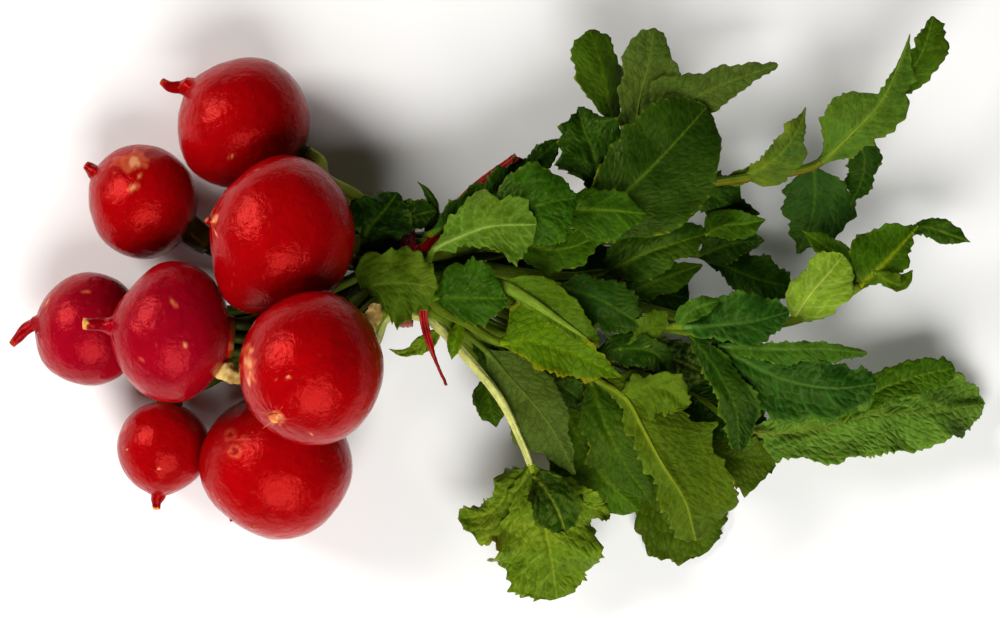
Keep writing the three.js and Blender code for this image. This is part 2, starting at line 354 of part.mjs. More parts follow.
  leaf_6c: { of: 6, slot: [2, E], way: [[-12, 10.8, 29.6], [4, 9, 29.8]], pts: [[18.3, 6.6, 31], [30.3, 2.6, 32.6], [43, -5, 31]],
    wl: [1.5, 5.5, 6.5, 6, 1.6], wr: [1.5, 5, 7, 7, 1.6], wave: 0.7, n: 1.5, cup: -0.015 },
  leaf_8a: { of: 8, slot: [-8, D], way: [[-9, -3.6, 27.4], [8, -10.4, 29.4], [20, -16, 30.5]], pts: [[29, -21, 29.8], [38, -27, 32], [43, -35.6, 33.4], [48.6, -46, 33], [55.8, -57.5, 28], [59.4, -70, 21]],
    wl: [2, 10, 17, 20.5, 16, 4], wr: [1.6, 3, 3.6, 4.8, 6.8, 3], under: true, rib: [1.4, 0.5], fl: -15, wave: 1.2, n: 2, steps: 9 },
  leaf_8c: { of: 8, slot: [-10, E], way: [[-14, -4.8, 28.6]], pts: [[-4, -12.6, 28.4], [4, -21.5, 29], [10.8, -29, 28.6], [17.2, -38, 27], [23, -50, 23]],
    wl: [1.6, 7, 7.4, 5.6, 4.6, 1.6], wr: [1.6, 4, 4.6, 6.4, 6.4, 1.6], under: true, wave: 0.8, n: 2, cup: -0.015 },
  leaf_8n: { small: 1, of: 8, slot: [-10, C], way: [[-13, -5, 21.6]], pts: [[2, -12, 22.5], [14, -20, 22.6], [27, -29, 19.5]],
    wl: [1.4, 6, 6.5, 1], wr: [1.4, 7, 7.5, 1], wave: 0.7, n: 1.5 },
  leaf_8g: { of: 8, slot: [-12, D], way: [[-17.6, -6, 27], [-11.2, -12.8, 29], [0.2, -27, 30.6], [6.2, -39, 28]], r1: 1.1,
    pts: [[9.2, -46.5, 25.2], [12.3, -60.5, 24], [14.7, -74, 20], [14.7, -88, 12]], wl: [1.5, 11, 15, 15, 12, 4], wr: [1.5, 7, 11.5, 14.5, 10, 4], wave: 2, n: 2.5, steps: 9,
    side: {
      g1: { pts: [[9.6, -47.5, 24.6], [4.6, -53, 22], [-3, -61.6, 19.5], [-12.4, -63.6, 18.5]], wl: [1, 5, 5.4, 1.4], wr: [1, 3.6, 3.4, 1.4], wave: 0.8 },
      g2: { pts: [[11.8, -57, 24.2], [20, -57.6, 25.5], [27, -59.6, 25], [33, -61.8, 23]], wl: [1, 4, 3.4, 0.8], wr: [1, 3.4, 3, 0.8], wave: 0.6 },
      g3: { big: 1, pts: [[10.4, -50, 24.6], [13.5, -54.5, 28.5], [16.4, -60, 30], [18.6, -68, 28.5]], wl: [1, 6.5, 7, 3], wr: [1, 6, 6.5, 3], cup: 0.1, wave: 0.6 },
      ii: { small: 1, pts: [[-17.5, -6.2, 27], [-22.4, -10.4, 25], [-29, -13.2, 24], [-33.2, -12.2, 24]], wl: [1, 3, 1.4, 0.7], wr: [1, 2.6, 1.2, 0.7], wave: 0.4 } } },
  leaf_7d: { of: 7, slot: [-8, Bz], way: [[-12, -7, 17.5], [6, -20.6, 16.5]], pts: [[18.3, -29, 16.5], [24.5, -40, 17], [32, -51.6, 15], [42.4, -61.4, 10.5]],
    wl: [1.6, 7, 8, 8, 6.5, 2.4], wr: [1.6, 5, 6.4, 7, 6, 2.4], wave: 0.9, n: 2 },
  leaf_7f: { of: 7, slot: [-6, C], way: [[-7, -2.6, 19.4], [20, -17, 13.8], [45, -31, 11.5]], pts: [[60, -39.6, 11.5], [68, -43.6, 12.6], [76, -45.6, 12.4], [84, -47.6, 10.4]],
    wl: [1.6, 5.5, 6.4, 6, 2], wr: [1.6, 8, 10, 8, 2.4], wave: 1, n: 2 },
  leaf_7h: { small: 1, of: 7, slot: [-6, A], way: [[-17, -4, 12], [-8, -13, 12]], pts: [[-3.4, -20, 14], [-3, -28, 15.5], [-0.8, -36, 15]],
    wl: [1.2, 5, 4.6, 1], wr: [1.2, 4.2, 4, 1], wave: 0.6, n: 1.5 },
};

// The bundle's path with a stalk's own offset, kept square to the way it runs.
function memberPoints(plant, slot) {
  const name = `radish_${plant}`, { P, D: dir } = crownOf(BULBS[name]);
  const slots = Object.values(LEAVES).filter((l) => l.of === plant).map((l) => l.slot);
  const mid = [0, 1].map((i) => (Math.min(...slots.map((s) => s[i])) + Math.max(...slots.map((s) => s[i]))) / 2);
  const tie = (x) => [x, TIE.y + mid[0], TIE.z + mid[1]];
  const line = [add(P, dir, 0.1), add(P, dir, 4), ...BUNDLES[name], tie(TIE_IN), tie(TIE_OUT)];
  const off = [slot[0] - mid[0], slot[1] - mid[1]];
  const path = makePath(line);
  return line.map((q, i) => {
    let T = i >= line.length - 2 ? [1, 0, 0] : i === 0 ? dir : atLength(path, path.knots[i]).T;
    const H = unit([-T[1], T[0], 0]), U = cross(T, H);
    return add(add(q, H, off[0]), U, off[1]);
  });
}
function leafPath(L) {
  const stem = memberPoints(L.of, L.slot);
  const pts = [...stem, ...L.way, ...L.pts];
  const path = makePath(pts);
  return { path, d0: path.knots[stem.length + L.way.length], thickTo: path.knots[stem.length - 1] };
}
function nearest(path, q) {
  let best = 0, e = Infinity;
  path.p.forEach((p, i) => { const d = len(sub(p, q)); if (d < e) { e = d; best = i; } });
  return path.p[best];
}
function makeLeaf(L, grow = 0) {
  const { path, d0, thickTo } = leafPath(L);
  L.thickTo = thickTo;
  let s = leafSolid(L, path, d0, grow, L.small ? 6 : 10);
  for (const B of Object.values(L.side ?? {})) {
    const pts = [nearest(path, B.pts[0]), ...B.pts.slice(1)];
    s = s.add(leafSolid({ r1: 0.95, steps: B.small ? 3 : B.big ? 5 : 4, ...B }, makePath(pts), 0, grow, B.big ? 10 : 6));
  }
  return onFloor(s);
}

// ---- twist tie ----
// A flat red strip with a wire along its middle: two turns, a knot and two loose ends.
function strip(pts, widths, ups, grow = 0) {
  const path = makePath(pts), n = pts.length - 1, rings = [];
  const cuts = [0, ...bends(path, 0, path.length, 0.3), path.length].sort((a, b) => a - b);
  for (const d of cuts) {
    const { P, T } = atLength(path, d), t = d / path.length;
    const u = [0, 1, 2].map((i) => along(ups.map((q) => q[i]), t));
    const N = unit(add(u, T, -dot(u, T))), S = cross(N, T);
    const w = along(widths, t) / 2 + grow, h = TIE.thick / 2 + grow;
    const c = (a, b) => add(add(P, S, a), N, b);
    rings.push([c(w, h * 0.7), c(0, h * 1.3), c(-w, h * 0.7), c(-w, -h * 0.7), c(0, -h * 1.3), c(w, -h * 0.7)]);
  }
  return loft(rings);
}
function makeTie(grow = 0) {
  const n = 18, w = TIE.strip / 2 + grow, h = TIE.thick + 2 * grow, pos = [], idx = [];
  const turn = (x0, phase) => {
    const P = [], I = [];
    for (let i = 0; i < n; i++) {
      const a = (2 * Math.PI * (i + phase)) / n;
      const sec = [[-w, 0], [-w, h], [0, h + 0.25], [w, h], [w, 0]];
      for (const [x, r] of sec)
        P.push(x0 + x, TIE.y + (TIE.ry - grow + r) * Math.cos(a), TIE.z + (TIE.rz - grow + r) * Math.sin(a));
    }
    for (let i = 0; i < n; i++)
      for (let j = 0; j < 5; j++) {
        const a = i * 5 + j, b = i * 5 + ((j + 1) % 5), c = ((i + 1) % n) * 5 + ((j + 1) % 5), d = ((i + 1) % n) * 5 + j;
        I.push(a, b, c, a, c, d);
      }
    return solid(P, I);
  };
  let s = turn(TIE.x - TIE.strip / 2 + 0.1, 0).add(turn(TIE.x + TIE.strip / 2 - 0.1, 0.5));
  // the knot sits on the shoulder of the loop, and the ends leave from it
  const knot = new THREE.IcosahedronGeometry(2.1 + grow, 0);
  knot.scale(1.1, 1.25, 0.7);
  knot.translate(-25.6, 16.6, 36);
  s = s.add(fromThree(knot));
  s = s.add(strip([[-25.6, 16.6, 36.2], [-21, 18.8, 36.4], [-17.5, 24, 35.4], [-10, 33.6, 30.5], [5.4, 45.6, 31]],
    [2.6, 3, 3, 3.2, 3.4], [[0, 0, 1], [-0.2, 0, 1], [-0.3, 0.2, 1], [-0.2, 0.3, 1], [-0.3, 0.6, 0.7]], grow));
  s = s.add(strip([[-25.6, 16.6, 36.2], [-23, 11.5, 37.4], [-22.4, 4, 37], [-22.6, -2.6, 33.5], [-20.2, -12.4, 30.8], [-15.9, -23, 24]],
    [2.6, 2.8, 2.8, 2.4, 1.3, 1.1], [[0, 0, 1], [0, 0, 1], [0, 0, 1], [0, -0.4, 1], [0.8, -0.2, 0.6], [0.9, 0, 0.5]], grow));
  return s;
}
function fromThree(geometry) {
  const g = geometry.clone();
  g.deleteAttribute("normal");
  g.deleteAttribute("uv");
  const m = mergeVertices(g, 1e-4);
  const index = m.index ? [...m.index.array] : [...Array(m.attributes.position.count).keys()];
  return solid([...m.attributes.position.array], index);
}

// ---- put together: what comes later is trimmed clear of what is already there ----
const bunch = new THREE.Group();
const placed = [];
function place(name, make, colour, roughness) {
  let s = make(0);
  for (const other of placed) if (boxesMeet(s, other.fat)) s = s.subtract(other.fat);
  s = biggest(s).simplify(0.05);
  placed.push({ name, fat: make(GAP) });
  const { vertProperties, triVerts } = s.getMesh();
  const g = new THREE.BufferGeometry();
  g.setAttribute("position", new THREE.BufferAttribute(Float32Array.from(vertProperties), 3));
  g.setIndex(new THREE.BufferAttribute(Uint32Array.from(triVerts), 1));
  g.computeVertexNormals();
  const mesh = new THREE.Mesh(g, new THREE.MeshStandardMaterial({ color: colour, roughness, metalness: 0, side: THREE.DoubleSide, flatShading: true }));
  mesh.name = name;
  bunch.add(mesh);
}

// Dried, cream-coloured stubs of old leaf stalks at two of the crowns.
const STUBS = {
  radish_5_stub: [[-84, -17, 35.5], [-80, -19.8, 36.5], [-77, -20.4, 36], [-75.4, -19, 35]],
  radish_6_stub: [[-42, -12, 56.4], [-37.6, -8.6, 54], [-34.6, -4.8, 51.6], [-33.6, -1, 49]],
};
function makeStub(pts, grow = 0) {
  const path = makePath(pts), rings = [];
  for (let i = 0; i <= 5; i++) {
    const d = (path.length * i) / 5;
    rings.push(stalkRing([1.5, 2.3, 2.1, 1.8, 1.9, 1.3][i] + grow, atLength(path, d), 8));
  }
  return loft(rings);
}
for (const [name, b] of Object.entries(BULBS)) place(`${name}_bulb`, (g) => makeBulb(b, g), 0xb00d12, 0.35);
for (const [name, p] of Object.entries(STUBS)) place(name, (g) => makeStub(p, g), 0xd9c27a, 0.8);
place("twist_tie", makeTie, 0xa80a12, 0.45);
for (const [name, L] of Object.entries(LEAVES))
  place(name, (g) => makeLeaf(L, g), L.under ? 0x7c9a55 : 0x3f7a1c, 0.6);

export default bunch;
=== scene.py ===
"""A bunch of round red radishes with their leaves on, held by a red twist tie and laid on a pale table.

The shapes are worked out in millimetres in the part's own frame, and are scaled to metres
as each mesh is made. The sections run in the order in which the bunch comes together.
"""

import bpy
import numpy as np
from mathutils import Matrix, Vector


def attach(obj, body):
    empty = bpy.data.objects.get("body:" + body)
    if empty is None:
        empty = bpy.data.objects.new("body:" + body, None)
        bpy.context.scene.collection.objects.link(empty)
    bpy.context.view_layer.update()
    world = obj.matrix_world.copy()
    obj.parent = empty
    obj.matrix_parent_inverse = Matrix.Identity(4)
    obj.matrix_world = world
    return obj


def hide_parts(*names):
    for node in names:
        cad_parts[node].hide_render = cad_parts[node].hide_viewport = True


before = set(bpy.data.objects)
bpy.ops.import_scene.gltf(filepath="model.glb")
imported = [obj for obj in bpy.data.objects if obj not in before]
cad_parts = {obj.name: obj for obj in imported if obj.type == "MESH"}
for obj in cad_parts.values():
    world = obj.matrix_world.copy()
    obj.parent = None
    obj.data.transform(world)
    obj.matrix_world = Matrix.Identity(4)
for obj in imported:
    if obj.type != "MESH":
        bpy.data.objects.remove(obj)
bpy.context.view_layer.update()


# ---------------------------------------------------------------- radish bulbs
# A radish bulb is a swollen root with a thin waxy red skin over white flesh. Its crown, where the
# stalks grow, faces into the bunch, and it tapers at the other end into the tail root, cut or
# snapped short. It grew as one piece, so a bulb and its tail are one surface.
rng = np.random.default_rng(8)
NOISE = rng.random((32, 32, 32))


def lumps(p, size, seed=0):
    """Smooth random bumps from -1 to 1: random values on a lattice of that size in mm, blended
    between the eight nearest by the smooth step 3t^2 - 2t^3 along each axis."""
    q = np.asarray(p, float) / size + 7.31 * seed + 100
    i = np.floor(q).astype(int)
    f = q - i
    f = f * f * (3 - 2 * f)
    out = 0
    for c in np.ndindex(2, 2, 2):
        w = np.prod(np.where(np.array(c) == 1, f, 1 - f), axis=-1)
        k = (i + c) % 32
        out = out + w * NOISE[k[..., 0], k[..., 1], k[..., 2]]
    return 2 * out - 1


def smooth(t):
    """3t^2 - 2t^3, held at 0 below 0 and at 1 above 1."""
    t = np.clip(t, 0, 1)
    return t * t * (3 - 2 * t)


def unit(v):
    """Each vector divided by its length."""
    v = np.asarray(v, float)
    return v / np.maximum(np.linalg.norm(v, axis=-1, keepdims=True), 1e-9)


def linear(hex_colour):
    """An sRGB hex colour as linear red, green and blue."""
    c = np.array([int(hex_colour[i:i + 2], 16) for i in (1, 3, 5)]) / 255
    return np.where(c <= 0.04045, c / 12.92, ((c + 0.055) / 1.055) ** 2.4)


def blend(a, b, t):
    """Colour a where t is 0 and colour b where t is 1."""
    t = np.asarray(t)[..., None]
    return a * (1 - t) + b * t


def skin(rings, start=0):
    """Faces of a closed surface through n rings of m points: a quad from each side of a ring to
    the next ring, and a ladder of quads across the first ring and the last."""
    n, m = rings.shape[:2]
    i, j = np.meshgrid(np.arange(n - 1), np.arange(m), indexing="ij")
    k = (j + 1) % m
    side = np.stack([i * m + j, i * m + k, (i + 1) * m + k, (i + 1) * m + j], -1).reshape(-1, 4)
    r = np.arange(m // 2 - 1)
    cap = np.stack([r, r + 1, m - 2 - r, m - 1 - r], -1)
    return np.vstack([side, cap[:, ::-1], cap + (n - 1) * m]) + start


def outward(points, faces):
    """The same faces, turned round where the volume that they enclose comes out negative."""
    a, b, c, d = (points[faces[:, k]] for k in range(4))
    volume = (np.cross(b - a, c - a) * a).sum() + (np.cross(c - a, d - a) * a).sum()
    return faces if volume > 0 else faces[:, ::-1]


TABLE_GAP = 0.05    # mm, how close to the table a point of any piece comes


def make_piece(name, shells, material, slot, node):
    """One mesh from closed shells, in place of that node of the solids. A shell is rings of points
    in mm, a colour for each point, which goes into the attribute 'tint', and a place in mm on the
    piece's own surface for each, which goes into the attribute 'grain'."""
    points, faces, colours, grains, count = [], [], [], [], 0
    for rings, colour, grain in shells:
        flat = rings.reshape(-1, 3)
        faces.append(outward(flat, skin(rings)) + count)
        points.append(flat)
        colours.append(np.broadcast_to(colour, rings.shape).reshape(-1, 3))
        grains.append(np.broadcast_to(grain, rings.shape[:2] + (2,)).reshape(-1, 2))
        count += len(flat)
    points, faces = np.vstack(points), np.vstack(faces)
    points[:, 2] = np.maximum(points[:, 2], TABLE_GAP)
    mesh = bpy.data.meshes.new(name)
    mesh.vertices.add(len(points))
    mesh.vertices.foreach_set("co", (points * 0.001).astype(np.float32).ravel())
    mesh.loops.add(faces.size)
    mesh.loops.foreach_set("vertex_index", faces.astype(np.int32).ravel())
    mesh.polygons.add(len(faces))
    mesh.polygons.foreach_set("loop_start", np.arange(0, faces.size, 4, dtype=np.int32))
    mesh.update(calc_edges=True)
    mesh.polygons.foreach_set("use_smooth", np.ones(len(faces), bool))
    tint = mesh.attributes.new("tint", "FLOAT_COLOR", "POINT")
    rgba = np.c_[np.vstack(colours), np.ones(len(points))]
    tint.data.foreach_set("color", rgba.astype(np.float32).ravel())
    grain = mesh.attributes.new("grain", "FLOAT2", "POINT")
    grain.data.foreach_set("vector", np.vstack(grains).astype(np.float32).ravel())
    mesh.validate()
    mesh.materials.append(material)
    piece = bpy.data.objects.new(name, mesh)
    bpy.context.scene.collection.objects.link(piece)
    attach(piece, "root")
    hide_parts(node)


def add_node(tree, kind, settings=(), **sockets):
    """Adds a shader node. settings are its own properties, and a socket is given a value or,
    where it is another node's output, a link."""
    node = tree.nodes.new(kind)
    for key, value in dict(settings).items():
        setattr(node, key, value)
    for key, value in sockets.items():
        socket = node.inputs[key.replace("_", " ")]
        if isinstance(value, bpy.types.NodeSocket):
            tree.links.new(value, socket)
        else:
            socket.default_value = value
    return node


def new_material(name):
    """A node material, with its tree, its Principled surface and the Object coordinates."""
    material = bpy.data.materials.new(name)
    material.use_nodes = True
    tree = material.node_tree
    surface = tree.nodes["Principled BSDF"]
    place = add_node(tree, "ShaderNodeTexCoord").outputs["Object"]
    return material, tree, surface, place


def paint(tree, surface, shade):
    """The base colour: the piece's own colour at each point, times the shade of a pattern."""
    tint = add_node(tree, "ShaderNodeAttribute", dict(attribute_name="tint")).outputs["Color"]
    colour = add_node(tree, "ShaderNodeVectorMath", dict(operation="SCALE"), Vector=tint, Scale=shade)
    tree.links.new(colour.outputs["Vector"], surface.inputs["Base Color"])


def waxy_skin(name, roughness):
    """Fresh radish skin: a thin clear wax over red cells, so a soft broad shine that breaks up
    where dimples about 0.8 mm across and low swells about 2.6 mm across cross it. Part of the
    shine comes back from the red cells under the wax, so a small metallic share reddens it."""
    material, tree, surface, place = new_material(name)
    swells = add_node(tree, "ShaderNodeTexNoise", Vector=place, Scale=380.0, Detail=4.0,
                      Roughness=0.6)
    dimples = add_node(tree, "ShaderNodeTexNoise", Vector=place, Scale=1200.0, Detail=2.0)
    level = add_node(tree, "ShaderNodeMapRange", Value=swells.outputs["Fac"], From_Min=0.3, From_Max=0.7,
                     To_Min=0.9, To_Max=1.08)
    paint(tree, surface, level.outputs["Result"])
    rough = add_node(tree, "ShaderNodeMapRange", Value=dimples.outputs["Fac"], From_Min=0.3, From_Max=0.7,
                     To_Min=roughness - 0.04, To_Max=roughness + 0.06)
    tree.links.new(rough.outputs["Result"], surface.inputs["Roughness"])
    fine = add_node(tree, "ShaderNodeBump", Height=dimples.outputs["Fac"], Strength=0.08,
                    Distance=0.0002)
    soft = add_node(tree, "ShaderNodeBump", Height=swells.outputs["Fac"], Strength=0.5, Distance=0.0008,
                    Normal=fine.outputs["Normal"])
    tree.links.new(soft.outputs["Normal"], surface.inputs["Normal"])
    surface.inputs["IOR"].default_value = 1.4
    surface.inputs["Metallic"].default_value = 0.08
    surface.inputs["Specular IOR Level"].default_value = 0.27
    surface.inputs["Specular Tint"].default_value = (*linear("#ff7060"), 1)
    return material


RED, PINK, DARK_RED = linear("#9c0206"), linear("#92041a"), linear("#5e0104")
CREAM, RUST, CROWN, PALE = linear("#d39a48"), linear("#9a2c10"), linear("#3a3a0c"), linear("#bc5030")
BARE = linear("#d89468")
AROUND, RINGS = 112, 84     # points round a bulb, and rings from its crown to its tail
# All in mm: c centre, r radius, sq stretch along X Y Z, crown the way the stalks leave, neck the
# crown's radius and collar the length of the leaf bases on it, pull how far the body is drawn out to
# the tail, tail the root's points and tr its radii, end the colour of the root's tip, skin the colour
# of the upper side where it isn't red, groove a furrow along one side. dents are a direction, a height
# and how wide it spreads. marks are pale patches where the skin is scraped: x, y, length, width and
# turn in degrees, seen from above; scars are round ones: x, y, radius.
BULBS = {
    1: dict(c=[-77, 56.2, 19.2], r=19.9, crown=[0.84, -0.54, -0.14], neck=5.6, collar=1.2, end=RUST,
            pull=0.5, tail=[[-96.2, 66.6, 21.4], [-99.2, 67, 21.4], [-101.9, 68.6, 21.4]],
            tr=[3.4, 2, 1.7, 1.1], dents=[[-0.75, -0.66, 0, 1.4, 0.1], [-0.4, 1, 0, -0.7, 0.1]],
            marks=[[-79.5, 45.5, 3.4, 0.35, 15], [-76.4, 65, 0.6, 0.35, 60], [-76, 62, 0.5, 0.4, 60]]),
    2: dict(c=[-108, 32.4, 16.6], r=16.9, sq=[0.99, 1.03, 0.98], crown=[0.84, -0.5, -0.12], neck=5,
            collar=8, pull=0.3, end=RUST, tail=[[-123.6, 42.4, 18.4], [-125, 43.4, 18.4]],
            tr=[2.4, 1.8, 1.2], dents=[[-1, -0.1, 0, -0.8, 0.12]],
            marks=[[-110, 44, 10.5, 6.4, 8], [-109.4, 36.4, 3.4, 2.4, 40], [-105.6, 48.6, 3, 0.8, 10],
                   [-107.6, 40, 2.4, 1.2, 50]]),
    3: dict(c=[-64.5, 21.9, 42.8], r=22, sq=[0.975, 1.085, 0.98], crown=[0.94, -0.18, -0.36], neck=5.4,
            pull=0.6, end=PALE, tail=[[-85.8, 25.9, 51], [-86.6, 26.6, 51.4]], tr=[1.7, 1.2, 0.8],
            dents=[[-1, -0.2, 0, -0.5, 0.06], [-0.75, 0.8, 0, -1.1, 0.1], [-0.68, -0.74, 0, 2.6, 0.08]],
            marks=[[-71.4, 41, 1.4, 0.4, 10], [-84.4, 26, 3.6, 1.8, 70], [-85.2, 31.4, 3.4, 0.7, 55],
                   [-84, 22.6, 3, 0.5, -60]]),
    4: dict(c=[-123.9, -6.2, 16.5], r=17.1, sq=[0.95, 1.01, 0.97], crown=[0.98, -0.09, -0.2], neck=5,
            skin=PINK, pull=0.4, end=RUST,
            tail=[[-140.6, -4.9, 19.4], [-143, -6.4, 19], [-145.4, -8.9, 18.4], [-147.2, -11, 18]],
            tr=[2.8, 2, 1.8, 1.6, 1.1], dents=[[-0.3, -1, 0, -0.4, 0.1], [-1, -0.7, 0, 0.5, 0.06]],
            marks=[[-136, 2, 3, 0.5, 60], [-124, 5, 5, 0.35, 10]]),
    5: dict(c=[-97.6, -6.9, 38.4], r=18.9, pull=1.4, sq=[0.915, 1.105, 0.97], crown=[0.97, -0.08, -0.2],
            neck=6.2, skin=PINK, end=CREAM,
            tail=[[-117.6, -5, 42.4], [-120.2, -4.7, 42.5], [-123.8, -4.5, 42.6]],
            tr=[3, 2.1, 1.8, 1.8], dents=[[-0.75, 0.8, 0, -1.2, 0.1], [0.8, -0.8, 0, -0.6, 0.1]],
            marks=[[-96.3, 1.9, 3.4, 1.4, -40], [-92.8, -10.8, 1.8, 1.2, 40],
                   [-101.6, -11.2, 1.6, 0.6, 20], [-105.4, -15.4, 2.4, 0.3, -30],
                   [-111, 4, 2, 0.5, 50]]),
    6: dict(c=[-55.1, -17.5, 64], r=21.7, sq=[0.99, 1.045, 0.97], crown=[0.47, 0.6, -0.64], neck=6.2,
            pull=0.4, end=CREAM, tail=[[-65.2, -31.6, 77.6], [-65.6, -32, 78.4]], tr=[2.2, 2.2, 1.5],
            dents=[[-0.5, 1, 0, -0.6, 0.1]],
            marks=[[-73, -16.6, 9.5, 4.6, -72], [-72.6, -12, 4, 2, -66], [-73, -21.2, 2.8, 1.2, -80],
                   [-68.4, -21.4, 1.6, 0.8, 20], [-61.2, -20, 1.3, 1, 0], [-65, -20.6, 0.8, 0.5, 0],
                   [-64.8, -31.4, 5.4, 4, 20], [-54.8, -36.6, 2.8, 0.5, -62],
                   [-71.6, -20.6, 0.7, 0.5, 10]]),
    7: dict(c=[-101.7, -41.9, 13.8], r=14.1, sq=[0.98, 1, 0.98], crown=[0.1, 0.98, -0.12], neck=4.8,
            end=CREAM, pull=1.0,
            tail=[[-103.5, -58, 15.6], [-103.6, -59.2, 15.6], [-103.6, -60.8, 15.6]],
            tr=[2.4, 1.9, 1.3, 1.2], dents=[[0.4, -1, 0, -0.5, 0.1]],
            marks=[[-104.6, -45.6, 1.2, 0.6, 30], [-102.2, -48.2, 1.2, 0.7, 0],
                   [-112.8, -36.6, 3.4, 0.8, 80], [-112, -42.6, 1.6, 0.4, -40]]),
    8: dict(c=[-67.2, -47.6, 21.9], r=22.6, sq=[1.02, 0.99, 1], crown=[0.62, 0.76, -0.18], neck=5.6,
            pull=0.3, end=DARK_RED, tail=[[-80.6, -63.8, 26.1], [-80.8, -64, 26.2]], tr=[0.6, 0.4, 0.2],
            groove=True,
            dents=[[-0.62, -0.8, 0, -1.6, 0.08], [-1, 0.1, 0, 0.7, 0.08], [0.95, -0.55, 0, -0.6, 0.08]],
            marks=[[-83.6, -57.2, 2, 0.4, 60]],
            scars=[[-78.7, -42.6, 1.7], [-80.2, -37.6, 1.3], [-75.6, -38.6, 0.8], [-73.6, -65.8, 0.7]]),
}


def rail(points, per=24):
    """A smooth line through points: a cubic for each span, timed by the square root of the span's
    length and cut into per steps. Returns its points, the length so far at each, and the length at
    each given point."""
    p = np.asarray(points, float)
    q = np.vstack([2 * p[0] - p[1], p, 2 * p[-1] - p[-2]])
    a, b, c, d = q[:-3], q[1:-2], q[2:-1], q[3:]
    gap = np.maximum(np.linalg.norm(np.diff(q, axis=0), axis=1) ** 0.5, 1e-3)[:, None]
    u, v, w = gap[:-2], gap[1:-1], gap[2:]
    m1 = ((b - a) / u - (c - a) / (u + v) + (c - b) / v) * v
    m2 = ((c - b) / v - (d - b) / (v + w) + (d - c) / w) * v
    t = (np.arange(per) / per)[None, :, None]
    b, c, m1, m2 = (k[:, None, :] for k in (b, c, m1, m2))
    line = b + m1 * t + (3 * (c - b) - 2 * m1 - m2) * t ** 2 + (2 * (b - c) + m1 + m2) * t ** 3
    line = np.vstack([line.reshape(-1, 3), p[-1:]])
    length = np.r_[0, np.cumsum(np.linalg.norm(np.diff(line, axis=0), axis=1))]
    return line, length, length[::per]


def at_length(track, s):
    """Point and direction at length s along a rail, by straight interpolation and a 1.2 mm chord."""
    line, length = track[:2]
    here = lambda d: np.stack([np.interp(d, length, line[:, k]) for k in range(3)], -1)
    lo, hi = np.clip(s - 0.6, 0, length[-1]), np.clip(s + 0.6, 0, length[-1])
    return here(s), unit(here(hi) - here(lo))


